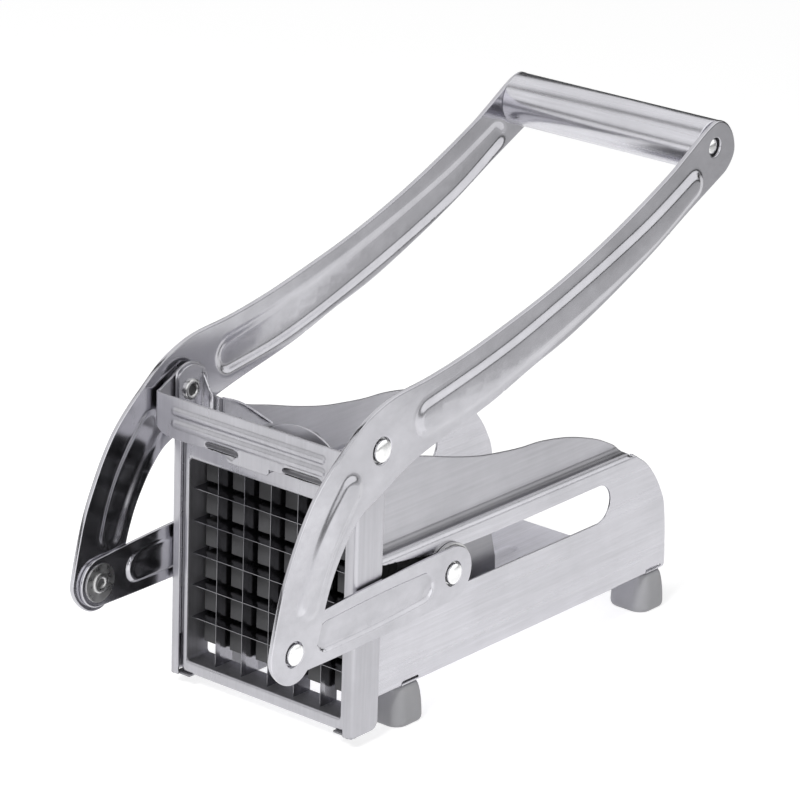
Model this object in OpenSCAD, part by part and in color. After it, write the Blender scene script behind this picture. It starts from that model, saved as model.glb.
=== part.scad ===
// Hand-lever cutter for potato sticks: a pressed steel body on rubber feet, a lift-out blade
// frame held in two guide channels, and a forked lever that drives a pin block through the grid.
// Y runs from the blades (low) to the open rear end (high), Z is up, X is across.

/* [Body] */
// Length from the guide channels' front face to the rear end of the floor
body_l = 168.3; // [164:0.1:190]
// Sheet thickness of body, guides, blade frame, header and flap
sheet_t = 0.8; // [0.6:0.05:1]
// Height of the lower walls, from the floor's underside to the top of the shoulder
wall_h = 48.7; // [46:0.1:56]
// Height of the upper panels' front end above the shoulder
panel_h = 35.7; // [30:0.1:42]
// Inward step between lower walls and upper panels
panel_inset = 4.4; // [2:0.1:4.6]
// Width of the two grooves pressed into the floor
floor_groove_w = 6; // [3:0.5:8]
// Depth of the floor grooves
floor_groove_d = 0.8; // [0.4:0.1:1.5]
// Distance of each floor groove from the middle
floor_groove_x = 10; // [6:0.5:16]

/* [Slot] */
// Height of the axle slots' lower edge above the floor's underside
slot_lift = 27.85; // [26:0.05:29]
// Height of the axle slots in the lower walls
slot_h = 13.7; // [12:0.1:15]
// Distance from the slots' rear end to the rear end of the floor
slot_rear_gap = 33.5; // [30:0.5:36]
// Rise of the slots' upper edge towards the front
slot_flare = 4.5; // [0:0.1:5]

/* [Feet] */
// Height of the rubber feet, from the table to the floor's underside
foot_h = 13.3; // [10:0.1:18]
// Width of a foot's top, across the body
foot_w = 13.8; // [11:0.1:15]
// Length of a foot's top, along the body
foot_l = 12.8; // [10:0.1:15]
// How far a foot spreads outwards on each side towards the table
foot_spread = 1.1; // [0.5:0.1:1.5]
// Radius of a foot's upright corners
foot_corner_r = 3.5; // [2:0.1:4]
// Distance of the front feet's middle from the guide channels' front face
front_foot_y = 30.2; // [26:0.1:40]
// Distance of the rear feet's middle from the rear end of the floor
rear_foot_gap = 6.2; // [6:0.1:20]

/* [Guides and blades] */
// Clearance between the guide channels and the table
guide_lift = 4; // [3:0.1:6]
// Width of the guide channels' front lips
lip_w = 3.7; // [2.5:0.1:4]
// Depth of the guide channels' side flanges
guide_d = 13.2; // [12.8:0.1:15]
// Radius of the round ears at the main pivot
ear_r = 9; // [8:0.1:10]
// Number of cells across and up the blade grid
cells = 6; // [4:1:8]
// Pitch of the blade grid, up the frame
cell_pitch = 11.3; // [10.8:0.1:11.4]
// How much narrower the outermost cells are than the others
side_cell_trim = 0.7; // [0:0.1:1]
// Thickness of a blade strip
blade_t = 0.5; // [0.3:0.05:0.8]
// Depth of a blade strip
blade_d = 8; // [6:0.5:9]
// Height of the blade frame's opening
mouth_h = 70.7; // [69:0.1:72]
// Width of the blade frame's opening and of the potato chamber behind it
mouth_w = 66.4; // [60:0.2:80]
// Height of the blade frame's top rail above its opening
top_rail_h = 7; // [5:0.1:7.5]
// Height of the blade frame's bottom rail below its opening
bottom_rail_h = 4.4; // [4:0.1:4.4]
// Depth of the blade frame
frame_d = 11; // [10:0.1:11]

/* [Lever] */
// Distance from the main pivot to the handle's middle
handle_reach = 182.1; // [160:0.1:210]
// Rise of the handle above level, seen from the main pivot
handle_angle = 20.2; // [10:0.1:30]
// Distance from the main pivot to the lever's lower pin
drive_reach = 68.8; // [66:0.1:72]
// Direction from the lower pin to the main pivot
drive_angle = 55.2; // [50:0.1:60]
// Thickness of the lever arms
arm_t = 1.5; // [1:0.1:2]
// Depth of the grooves pressed outwards into the lever arms
arm_groove_d = 0.9; // [0.3:0.05:1.1]
// Radius of the handle tube
grip_r = 9.15; // [8:0.05:10]
// Wall of the handle tube
grip_wall = 1; // [0.6:0.1:1.5]

/* [Drive] */
// Height of the main pivot above the guide channels' lower ends
pivot_z = 97.5; // [92:0.1:100]
// Distance of the main pivot behind the guide channels' front face
pivot_y = 6.8; // [6:0.1:7.5]
// Distance of the cross axle behind the guide channels' front face
axle_y = 47; // [44:0.1:50]
// Thickness of the links
link_t = 1.2; // [0.8:0.1:1.3]
// Radius of a link's end at the lower pin
link_pin_r = 8.35; // [7:0.05:9]
// Radius of a link's end at the cross axle
link_axle_r = 9.3; // [8:0.1:10]
// Widest half-width of a link
link_half_w = 9.65; // [9:0.05:11]
// Radius of the cross axle
axle_r = 4; // [3:0.1:5]
// Radius of the washers between links and body
axle_washer_r = 10; // [8:0.1:11]

/* [Pusher] */
// Side of a pusher pin
pin_w = 8.5; // [6:0.1:9]
// Length of the pusher pins
pin_l = 15; // [14:0.1:18]
// Distance of the pins' faces behind the guide channels' front face
pin_y = 9.5; // [8:0.1:11]
// Thickness of the pusher block's back plate
block_t = 4; // [3:0.1:6]
// Thickness of the carriage's sheet
carriage_t = 1.2; // [0.8:0.1:1.5]
// Length of the carriage's cheeks
cheek_l = 52; // [44:0.5:54]

/* [Lock flap] */
// Distance of the flap's front plate ahead of the guide channels' front face
flap_y = 7.9; // [7:0.1:10]
// Height of the flap's front plate
flap_h = 14; // [10:0.5:15]
// Width of the flap's middle tongue
tongue_w = 18; // [10:0.5:24]

/* [Hidden] */
$fn = 64;
STEPS = 3;
ARC_STEPS = 24;

// Overrun of the cuts, and clearances
over = 1;
run_gap = 0.05;
slide_gap = 0.1;
side_gap = 0.2;
block_gap = 0.6;

// Heights above the table, and places of the pivots
guide_z = guide_lift;
floor_z = foot_h;
floor_top = floor_z + sheet_t;
shoulder_z = floor_z + wall_h;
main_z = guide_z + pivot_z;
low_pin_y = pivot_y - drive_reach * cos(drive_angle);
low_pin_z = main_z - drive_reach * sin(drive_angle);
grip_y = pivot_y + handle_reach * cos(handle_angle);
grip_z = main_z + handle_reach * sin(handle_angle);
slot_bottom_z = floor_z + slot_lift;
axle_z = slot_bottom_z + slot_h / 2;
slot_end_y = body_l - slot_rear_gap - slot_h / 2;

// Plates from the chamber outwards, on the right side
panel_in = mouth_w / 2;
panel_out = panel_in + sheet_t;
wall_out = panel_out + panel_inset;
wall_in = wall_out - sheet_t;
guide_out = wall_out + sheet_t;
flap_in = guide_out + side_gap;
flap_out = flap_in + sheet_t;
link_side_gap = 0.8;
link_in = guide_out + link_side_gap;
link_out = link_in + link_t;
arm_in = link_out + slide_gap;
arm_out = arm_in + arm_t;
head_in = arm_out + run_gap;
head_h = 1.15;

// Blade frame and grid; the grid sits a share of a cell above the middle of the frame
floor_share = 0.18;
mouth_z = guide_z + bottom_rail_h + sheet_t + slide_gap;
mouth_top = mouth_z + mouth_h;
frame_y = sheet_t + side_gap;
frame_half_w = wall_in - side_gap;
frame_bottom = mouth_z - bottom_rail_h;
frame_top = mouth_top + top_rail_h;
blade_y = frame_y + frame_d - blade_d;
grid_z = mouth_z + mouth_h / 2 + cell_pitch * floor_share;
across_pitch = (mouth_w + side_cell_trim * 2) / cells;
pin_side = pin_w * across_pitch / cell_pitch;

notch_gap = 0.05;
shoulder_y = frame_y + frame_d + side_gap * 2;

// Pusher
block_half = panel_in - block_gap;
block_y = pin_y + pin_l;
cheek_y = block_y + block_t;
pin_bottom = grid_z - (cells / 2 - 0.5) * cell_pitch - pin_w / 2;
pin_top = grid_z + (cells / 2 - 0.5) * cell_pitch + pin_w / 2;
cheek_bottom = floor_top + block_gap;
cheek_top = pin_top + block_gap * 2;

// Rivets and pins
rivet_r = 2.6;
tail_hole_r = 1.3;
tail_r = 3.9;
tail_h = 1.2;
main_head_r = 4.4;
low_head_r = 4.2;
grip_head_r = 3.2;
grip_rivet_r = 2;
low_washer_r = 6.5;
low_washer_t = 0.35;
low_rim_r = 2.9;
low_rim_t = 0.25;
plug_l = 8;
screw_r = 1.5;
screw_head_r = 2.8;
screw_head_h = 1.6;

// Lever arm's outline: shares of the drive reach along and across the line from the lower pin
// to the main pivot, then shares of the handle reach from the main pivot to the handle
drive_front_shares = [[-0.1, 0.125], [-0.04, 0.16], [0.11, 0.22], [0.24, 0.262], [0.37, 0.288],
    [0.51, 0.306], [0.65, 0.308], [0.78, 0.286], [0.9, 0.252], [1.04, 0.207]];
grip_top_shares = [[0.02, 0.077], [0.07, 0.072], [0.15, 0.052], [0.25, 0.034], [0.37, 0.02],
    [0.49, 0.01], [0.61, 0.007], [0.73, 0.011], [0.86, 0.022], [0.93, 0.034], [0.99, 0.045],
    [1.025, 0.043], [1.048, 0.022], [1.058, -0.01], [1.052, -0.042], [1.025, -0.062],
    [0.99, -0.068]];
grip_under_shares = [[0.9, -0.077], [0.83, -0.086], [0.76, -0.094], [0.64, -0.102],
    [0.51, -0.105], [0.4, -0.098], [0.28, -0.093], [0.13, -0.075], [0.05, -0.07],
    [-0.03, -0.078]];
drive_rear_shares = [[0.705, -0.057], [0.59, -0.035], [0.48, -0.034], [0.38, -0.044],
    [0.26, -0.073], [0.14, -0.115], [0.03, -0.142], [-0.067, -0.127], [-0.12, -0.085],
    [-0.145, -0.02], [-0.135, 0.06]];

// Middle lines of the arm's two pressed grooves, with half-widths, in the same shares
drive_groove_shares = [[0.22, 0.065, 0.08], [0.34, 0.103, 0.088], [0.48, 0.126, 0.092],
    [0.62, 0.13, 0.092], [0.76, 0.118, 0.088]];
grip_groove_shares = [[0.125, -0.018, 0.026], [0.25, -0.04, 0.028], [0.37, -0.054, 0.025],
    [0.51, -0.062, 0.022], [0.65, -0.065, 0.02], [0.79, -0.061, 0.018], [0.92, -0.045, 0.015]];

// Upper panels' top edge: shares of the body's length, and of the panels' height
panel_top_shares = [[0.172, 0.829], [0.244, 0.734], [0.32, 0.628], [0.4, 0.535], [0.463, 0.487],
    [0.53, 0.448], [0.591, 0.431], [0.654, 0.387], [0.713, 0.322], [0.79, 0.199],
    [0.859, 0.031], [0.868, 0]];
// Lower walls' rear edge: shares of the body's length, and of the walls' height
wall_rear_shares = [[0.888, 0.95], [0.921, 0.87], [0.951, 0.754], [0.969, 0.657],
    [0.986, 0.536], [0.994, 0.376], [0.998, 0.22], [1, 0]];

// Carriage cheek's outline: shares of its length and height
cheek_shares = [[0, 0], [0, 0.96], [0.03, 1], [0.26, 1], [0.5, 0.955], [0.66, 0.89],
    [0.8, 0.78], [0.91, 0.62], [0.98, 0.42], [1, 0.2], [1, 0]];

// Point on a plate: Y and Z from the shares of the lever's drive end and of its handle end
function drive_at(s) = [low_pin_y, low_pin_z]
    + drive_reach * (s[0] * heading(drive_angle) + s[1] * heading(drive_angle + 90));
function grip_at(s) = [pivot_y, main_z]
    + handle_reach * (s[0] * heading(handle_angle) + s[1] * heading(handle_angle + 90));
function heading(a) = [cos(a), sin(a)];

// Smooth curve through points: the value at share t between b and c
function blend(a, b, c, d, t) = b + t * (c - a) / 2
    + t * t * (a - 2.5 * b + 2 * c - d / 2) + t * t * t * (1.5 * (b - c) + (d - a) / 2);
function smooth_loop(p, steps) = let (n = len(p))
    [for (i = [0:n - 1], k = [0:steps - 1])
        blend(p[(i + n - 1) % n], p[i], p[(i + 1) % n], p[(i + 2) % n], k / steps)];
function smooth_line(p, steps) = let (n = len(p))
    concat([for (i = [0:n - 2], k = [0:steps - 1])
        blend(p[max(i - 1, 0)], p[i], p[i + 1], p[min(i + 2, n - 1)], k / steps)], [p[n - 1]]);

// Outline of a band: each point of its middle line has Y, Z and a half-width
function band_turn(p, i) = let (d = p[min(i + 1, len(p) - 1)] - p[max(i - 1, 0)])
    [-d[1], d[0]] / norm([d[0], d[1]]);
function band_side(p, side) = [for (i = [0:len(p) - 1])
    [p[i][0], p[i][1]] + side * p[i][2] * band_turn(p, i)];
function back_to_front(p) = [for (i = [len(p) - 1:-1:0]) p[i]];

arm_outline = smooth_loop(concat([for (s = drive_front_shares) drive_at(s)],
    [for (s = grip_top_shares) grip_at(s)], [for (s = grip_under_shares) grip_at(s)],
    [for (s = drive_rear_shares) drive_at(s)]), STEPS);
mid_y = (min([for (p = arm_outline) p[0]]) + max([for (p = arm_outline) p[0]])) / 2;

// Everything stands on the table, with the whole tool's middle over the origin
module placed() {
    translate([0, -mid_y, 0])
        children();
}

module both_sides() {
    children();
    mirror([1, 0, 0])
        children();
}

// Upright plate: the outline is drawn in Y and Z
module side_plate(inner_x, thick) {
    translate([inner_x, 0, 0])
        rotate([90, 0, 90])
            linear_extrude(thick)
                children();
}

// Plate that faces the user: the outline is drawn in X and Z
module front_plate(front_y, thick) {
    translate([0, front_y + thick, 0])
        rotate([90, 0, 0])
            linear_extrude(thick)
                children();
}

// Round piece across the tool
module cross_disc(inner_x, thick, r, y, z) {
    translate([inner_x, y, z])
        rotate([0, 90, 0])
            cylinder(h = thick, r = r);
}

// Low dome of a rivet head, on the plane inner_x
module rivet_dome(inner_x, r, y, z) {
    ball_r = (r * r + head_h * head_h) / (2 * head_h);
    translate([inner_x, y, z])
        rotate([0, 90, 0])
            rotate_extrude()
                intersection() {
                    translate([0, head_h - ball_r])
                        circle(ball_r, $fn = 96);
                    square([r, head_h]);
                }
}

// Rolled hollow tail of a rivet
module rolled_tail(inner_x, thick, r) {
    rotate([0, 90, 0])
        translate([0, 0, inner_x])
            rotate_extrude()
                difference() {
                    square([r, thick]);
                    square([tail_hole_r, thick * 2], center = true);
                }
}

module at_main_pivot() {
    translate([0, pivot_y, main_z])
        children();
}

module box(low, high) {
    translate(low)
        cube(high - low);
}

// Body: floor, stepped walls, front shoulders and the inner ears
module upper_outline() {
    rear = [for (s = panel_top_shares) [s[0] * body_l, shoulder_z + s[1] * panel_h]];
    edge = smooth_line(concat([[shoulder_y, shoulder_z + panel_h]], rear), STEPS);
    polygon(concat(edge, [[rear[len(rear) - 1][0], shoulder_z - sheet_t],
        [shoulder_y, shoulder_z - sheet_t]]));
}

module lower_outline() {
    rear = [for (s = wall_rear_shares) [s[0] * body_l, floor_z + s[1] * wall_h]];
    polygon(concat([[shoulder_y, floor_z], [shoulder_y, shoulder_z], [shelf_end_y, shoulder_z]],
        smooth_line(rear, STEPS)));
}
shelf_end_y = panel_top_shares[len(panel_top_shares) - 1][0] * body_l;

module slot_outline() {
    front_y = shoulder_y + sheet_t * 2;
    flare_y = front_y + slot_flare_l;
    polygon([[front_y, slot_bottom_z], [slot_end_y, slot_bottom_z],
        [slot_end_y, slot_bottom_z + slot_h], [flare_y, slot_bottom_z + slot_h],
        [front_y, slot_bottom_z + slot_h + slot_flare]]);
    translate([slot_end_y, axle_z])
        circle(slot_h / 2);
}
slot_flare_l = 42;

module ear_outline(r, front_y, rear_y, low_z) {
    translate([pivot_y, main_z])
        circle(r);
    translate([front_y, low_z])
        square([rear_y - front_y, main_z - low_z]);
}

module foot_notches() {
    for (y = [front_foot_y, body_l - rear_foot_gap])
        translate([y - foot_notch_l / 2, floor_z - over])
            square([foot_notch_l, over + foot_notch_h]);
}
foot_notch_l = 11;
foot_notch_h = 1.6;

module body_wall() {
    side_plate(wall_in, sheet_t)
        difference() {
            lower_outline();
            slot_outline();
            foot_notches();
        }
    side_plate(wall_in, sheet_t)
        difference() {
            ear_outline(ear_r - sheet_t, frame_y, shoulder_y, floor_z);
            translate([frame_y - ear_r, floor_z])
                square([ear_r, main_z]);
            translate([pivot_y, main_z])
                circle(rivet_r + run_gap);
        }
    side_plate(panel_in, sheet_t)
        upper_outline();
    box([panel_in, shoulder_y, shoulder_z - sheet_t], [wall_out, shelf_end_y, shoulder_z]);
    box([panel_in, shoulder_y, shoulder_z - sheet_t], [wall_out, shoulder_y + sheet_t, main_z + face_rise]);
}
face_rise = 6.5;

module floor_groove(wide, z, deep) {
    front = shoulder_y + floor_groove_w;
    rear = body_l - rear_foot_gap * 4;
    for (y = [front, rear])
        translate([floor_groove_x, y, z])
            cylinder(h = deep, r = wide / 2);
    box([floor_groove_x - wide / 2, front, z], [floor_groove_x + wide / 2, rear, z + deep]);
}

module body_shell() {
    color("silver")
        placed()
            difference() {
                union() {
                    both_sides()
                        body_wall();
                    box([-wall_out, shoulder_y, floor_z], [wall_out, floor_rear_y, floor_top]);
                    both_sides()
                        floor_groove(floor_groove_w, floor_z - floor_groove_d, floor_groove_d);
                }
                both_sides()
                    floor_groove(floor_groove_w - sheet_t * 2, floor_top - floor_groove_d, sheet_t * 2);
                for (y = [front_foot_y, body_l - rear_foot_gap])
                    both_sides()
                        translate([foot_lug_x, y, floor_z + sheet_t / 2])
                            cube([foot_neck_w, foot_neck_l, sheet_t * 2], center = true);
            }
}
floor_rear_y = body_l - sheet_t;

// Guide channels: front lip, side flange with the outer ear, and a rest tab for the blade frame
module guide_channel() {
    side_plate(wall_out, sheet_t)
        difference() {
            union() {
                ear_outline(ear_r, pivot_y - ear_r, guide_d, guide_z + guide_corner_r);
                translate([0, guide_z])
                    square([guide_d - guide_corner_r, guide_corner_r]);
                translate([guide_d - guide_corner_r, guide_z + guide_corner_r])
                    circle(guide_corner_r);
            }
            translate([-ear_r, 0])
                square([ear_r, main_z * 2]);
            translate([pivot_y, main_z])
                circle(rivet_r + run_gap);
        }
    box([guide_out - lip_w, 0, guide_z], [guide_out, sheet_t, main_z - ear_r / 2]);
    box([guide_out - lip_w - tab_w, 0, guide_z], [guide_out, guide_d - guide_corner_r, guide_z + sheet_t]);
}
guide_corner_r = 3;
tab_w = 4.5;

module guide_channel_left() {
    color("silver")
        placed()
            mirror([1, 0, 0])
                guide_channel();
}

module guide_channel_right() {
    color("silver")
        placed()
            guide_channel();
}

// Header: arched cross plate between the upper panels, with a gusset along each
module header_bracket() {
    low = mouth_top + header_lift;
    arch_z = low + header_h - header_arch_r;
    back = header_y + gusset_l;
    color("silver")
        placed() {
            front_plate(header_y, sheet_t) {
                translate([-panel_in, low])
                    square([panel_in * 2, sheet_t * 3]);
                intersection() {
                    translate([0, arch_z])
                        circle(header_arch_r, $fn = 96);
                    translate([-panel_in, low])
                        square([panel_in * 2, header_h * 2]);
                }
            }
            both_sides()
                side_plate(panel_in - sheet_t, sheet_t)
                    polygon([[header_y, low], [header_y, shoulder_z + panel_h - sheet_t],
                        [header_y + gusset_l * gusset_knee_share, shoulder_z + panel_h * gusset_top_share], [back, low]]);
        }
}
header_gap = 4.6;
header_y = shoulder_y + header_gap;
header_lift = 2.5;
header_h = 13.2;
header_arch_r = 23;
gusset_l = 22.5;
gusset_knee_share = 0.35;
gusset_top_share = 0.88;

// Blade frame: a pressed sheet frame with an inner sleeve and a turned-back rim
module blade_frame() {
    color("silver")
        placed()
            difference() {
                box([-frame_half_w, frame_y, frame_bottom],
                    [frame_half_w, frame_y + frame_d, frame_top]);
                box([-mouth_w / 2, frame_y - over, mouth_z],
                    [mouth_w / 2, frame_y + frame_d + over, mouth_top]);
                difference() {
                    box([-frame_half_w + sheet_t, frame_y + sheet_t, frame_bottom + sheet_t],
                        [frame_half_w - sheet_t, frame_y + frame_d + over, frame_top - sheet_t]);
                    box([-mouth_w / 2 - sheet_t, frame_y, mouth_z - sheet_t],
                        [mouth_w / 2 + sheet_t, frame_y + frame_d + over * 2, mouth_top + sheet_t]);
                }
            }
}

// Place of a blade, counted from the middle of the grid: across it, and up it
function blade_x(i) = (i - (cells - 2) / 2) * across_pitch;
function blade_z(j) = grid_z + (j - (cells - 2) / 2) * cell_pitch;

module vertical_blades() {
    color("gainsboro")
        placed()
            for (i = [0:cells - 2])
                difference() {
                    box([blade_x(i) - blade_t / 2, blade_y, mouth_z],
                        [blade_x(i) + blade_t / 2, blade_y + blade_d, mouth_top]);
                    for (j = [0:cells - 2])
                        translate([blade_x(i), blade_y + blade_d * 0.75, blade_z(j)])
                            cube([blade_t * 2, blade_d / 2 + notch_gap * 2, blade_t + notch_gap * 2],
                                center = true);
                }
}

module horizontal_blades() {
    color("gainsboro")
        placed()
            for (j = [0:cells - 2])
                difference() {
                    box([-mouth_w / 2, blade_y, blade_z(j) - blade_t / 2],
                        [mouth_w / 2, blade_y + blade_d, blade_z(j) + blade_t / 2]);
                    for (i = [0:cells - 2])
                        translate([blade_x(i), blade_y + blade_d * 0.25, blade_z(j)])
                            cube([blade_t + notch_gap * 2, blade_d / 2 + notch_gap * 2, blade_t * 2],
                                center = true);
                }
}

// Main pivots: a domed head outside, the arm and the flap turn on the shank
module main_pivot_rivets() {
    color("white")
        placed()
            both_sides() {
                rivet_dome(head_in, main_head_r, pivot_y, main_z);
                at_main_pivot()
                    rolled_tail(wall_in, head_in - wall_in, rivet_r);
                at_main_pivot()
                    rolled_tail(wall_in - tail_h, tail_h, tail_r);
            }
}

module pivot_spacers() {
    color("gray")
        placed()
            both_sides()
                difference() {
                    cross_disc(flap_out + run_gap, arm_in - flap_out - run_gap * 2, spacer_r,
                        pivot_y, main_z);
                    cross_disc(flap_out - over, arm_in - flap_out + over * 2, rivet_r + run_gap / 2,
                        pivot_y, main_z);
                }
}
spacer_r = 6.5;

// Lock flap: front plate with two pressed ribs, side cheeks on the pivots and a catch tongue
module flap_cheek_outline() {
    difference() {
        union() {
            translate([pivot_y, main_z])
                circle(ear_r - sheet_t);
            polygon([[-flap_y, flap_top - flap_h + flap_corner], [-flap_y, flap_top],
                [pivot_y - ear_r * 0.4, main_z + ear_r * 0.78],
                [pivot_y, main_z - ear_r + sheet_t], [-flap_y + flap_corner, flap_top - flap_h]]);
        }
        translate([pivot_y, main_z])
            circle(rivet_r + run_gap);
    }
}
flap_rise = 2.5;
flap_top = main_z + flap_rise;
flap_corner = 3.5;

module lock_flap() {
    low = flap_top - flap_h;
    catch_y = frame_y + frame_d / 2;
    catch_z = frame_top + side_gap * 3;
    color("silver")
        placed() {
            both_sides()
                side_plate(flap_in, sheet_t)
                    flap_cheek_outline();
            front_plate(-flap_y, sheet_t)
                polygon([[-flap_out, flap_top], [flap_out, flap_top],
                    [flap_out, low + flap_corner], [flap_out - flap_corner, low],
                    [-flap_out + flap_corner, low], [-flap_out, low + flap_corner]]);
            front_plate(-flap_y, sheet_t)
                translate([-tongue_w / 2, catch_z])
                    square([tongue_w, low - frame_top]);
            box([-tongue_w / 2, -flap_y, catch_z], [tongue_w / 2, catch_y, catch_z + sheet_t]);
            for (share = flap_rib_shares)
                translate([0, -flap_y, low + flap_h * share])
                    rotate([0, 90, 0])
                        cylinder(h = flap_rib_l, r = flap_rib_r, center = true);
        }
}
flap_rib_shares = [0.37, 0.66];
flap_rib_l = 64;
flap_rib_r = 0.7;

// Lever arms: one plate each, with two grooves pressed outwards from its inner face
module groove_outline(points) {
    line = smooth_line(points, STEPS);
    last = len(line) - 1;
    polygon(concat(band_side(line, 1), back_to_front(band_side(line, -1))));
    for (i = [0, last])
        translate([line[i][0], line[i][1]])
            circle(line[i][2], $fn = 32);
}

module arm_grooves(narrower) {
    groove_outline([for (s = drive_groove_shares)
        concat(drive_at(s), s[2] * drive_reach - narrower)]);
    groove_outline([for (s = grip_groove_shares)
        concat(grip_at(s), s[2] * handle_reach - narrower)]);
}

module lever_arm() {
    difference() {
        union() {
            side_plate(arm_in, arm_t)
                difference() {
                    polygon(arm_outline);
                    translate([pivot_y, main_z])
                        circle(rivet_r + run_gap);
                    translate([low_pin_y, low_pin_z])
                        circle(rivet_r);
                    translate([grip_y, grip_z])
                        circle(grip_rivet_r);
                }
            side_plate(arm_out - arm_groove_d, arm_groove_d * 2)
                arm_grooves(0);
        }
        side_plate(arm_in - over, over + arm_groove_d)
            arm_grooves(arm_t / 2);
    }
}

module lever_arm_left() {
    color("lightgray")
        placed()
            mirror([1, 0, 0])
                lever_arm();
}

module lever_arm_right() {
    color("lightgray")
        placed()
            lever_arm();
}

module handle_tube() {
    color("lightgray")
        placed()
            difference() {
                cross_disc(-arm_in, arm_in * 2, grip_r, grip_y, grip_z);
                cross_disc(-arm_in - over, arm_in * 2 + over * 2, grip_r - grip_wall, grip_y, grip_z);
            }
}

module handle_plugs() {
    color("gray")
        placed()
            both_sides()
                difference() {
                    cross_disc(arm_in - plug_l, plug_l, grip_r - grip_wall, grip_y, grip_z);
                    cross_disc(arm_in - plug_l - over, plug_l + over * 2, grip_rivet_r, grip_y, grip_z);
                }
}

module handle_rivets() {
    color("white")
        placed()
            both_sides() {
                rivet_dome(arm_out, grip_head_r, grip_y, grip_z);
                cross_disc(arm_in - plug_l, arm_out - arm_in + plug_l, grip_rivet_r, grip_y, grip_z);
            }
}

// Lower pins: the domed head stays with the lever, the hollow tail and its washer with the link
module lower_pin_heads() {
    color("white")
        placed()
            both_sides() {
                rivet_dome(arm_out, low_head_r, low_pin_y, low_pin_z);
                cross_disc(arm_in, arm_t, rivet_r, low_pin_y, low_pin_z);
            }
}

module lower_pin_tails() {
    color("gray")
        placed()
            both_sides()
                translate([0, low_pin_y, low_pin_z]) {
                    rolled_tail(link_in - low_washer_t, link_out - link_in + low_washer_t, rivet_r);
                    rolled_tail(link_in - low_washer_t - low_rim_t, low_rim_t, low_rim_r);
                }
}

module lower_washers() {
    color("gray")
        placed()
            both_sides()
                difference() {
                    cross_disc(link_in - low_washer_t, low_washer_t, low_washer_r,
                        low_pin_y, low_pin_z);
                    cross_disc(link_in - low_washer_t - over, low_washer_t + over * 2, rivet_r,
                        low_pin_y, low_pin_z);
                }
}

// Links from the lower pins back to the cross axle, with one pressed groove each
module link_plate() {
    tilt = atan2(axle_z - low_pin_z, axle_y - low_pin_y);
    reach = norm([axle_z - low_pin_z, axle_y - low_pin_y]);
    translate([0, low_pin_y, low_pin_z])
        rotate([tilt, 0, 0])
            difference() {
                side_plate(link_in, link_t)
                    difference() {
                        polygon(concat(arc_points(0, link_pin_r, 90, 270),
                            [for (t = link_side_shares) [t * reach, -link_half(t)]],
                            arc_points(reach, link_axle_r, -90, 90),
                            [for (t = back_to_front(link_side_shares)) [t * reach, link_half(t)]]));
                        circle(rivet_r);
                        translate([reach, 0])
                            circle(rivet_r + run_gap);
                    }
                side_plate(link_out - link_groove_d, link_groove_d + over)
                    groove_outline([for (t = link_groove_shares) [t * reach, 0, link_half_w / 2]]);
            }
}
link_side_shares = [0.08, 0.2, 0.35, 0.5, 0.65, 0.8, 0.92];
function link_half(t) = link_pin_r * (1 - t) + link_axle_r * t
    + (link_half_w - (link_pin_r + link_axle_r) / 2) * sin(180 * t);
function arc_points(x, r, from, to) = [for (k = [0:ARC_STEPS])
    [x, 0] + r * heading(from + (to - from) * k / ARC_STEPS)];
link_groove_d = 0.5;
link_groove_shares = [0.24, 0.42, 0.6, 0.76];

module link_left() {
    color("lightgray")
        placed()
            mirror([1, 0, 0])
                link_plate();
}

module link_right() {
    color("lightgray")
        placed()
            link_plate();
}

// Cross axle with shouldered ends and domed heads, its slot bushings and washers
module cross_axle() {
    color("white")
        placed() {
            cross_disc(-shaft_end, shaft_end * 2, axle_r, axle_y, axle_z);
            both_sides() {
                cross_disc(shaft_end, link_out + slide_gap - shaft_end, rivet_r, axle_y, axle_z);
                rivet_dome(link_out + slide_gap, low_head_r, axle_y, axle_z);
            }
        }
}
shaft_end = link_in - run_gap;

module slot_bushings() {
    color("dimgray")
        placed()
            both_sides()
                difference() {
                    cross_disc(block_half + slide_gap, wall_out - block_half, slot_h / 2 - slide_gap * 1.5,
                        axle_y, axle_z);
                    cross_disc(block_half - over, wall_out - block_half + over * 2, axle_r + run_gap,
                        axle_y, axle_z);
                }
}

module axle_washers() {
    color("gray")
        placed()
            both_sides()
                difference() {
                    cross_disc(wall_out + slide_gap + run_gap, shaft_end - wall_out - slide_gap * 2,
                        axle_washer_r, axle_y, axle_z);
                    cross_disc(wall_out - over, shaft_end - wall_out + over * 2, axle_r + run_gap,
                        axle_y, axle_z);
                }
}

// Carriage: a front plate behind the block, and a cheek on each side that carries the axle
module pusher_carriage() {
    high = cheek_top - cheek_bottom;
    color("darkgray")
        placed() {
            both_sides()
                side_plate(block_half - carriage_t, carriage_t)
                    difference() {
                        polygon([for (s = cheek_shares)
                            [cheek_y + s[0] * cheek_l, cheek_bottom + s[1] * high]]);
                        translate([axle_y, axle_z])
                            circle(axle_r);
                    }
            difference() {
                box([-block_half, cheek_y, cheek_bottom], [block_half, cheek_y + carriage_t, cheek_top]);
                for (x = [-screw_x, screw_x], z = [-screw_z, screw_z])
                    translate([x, cheek_y - over, grid_z + z])
                        rotate([-90, 0, 0])
                            cylinder(h = carriage_t + over * 2, r = screw_r);
            }
        }
}
screw_x = across_pitch * 2;
screw_z = cell_pitch * 2;

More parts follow.
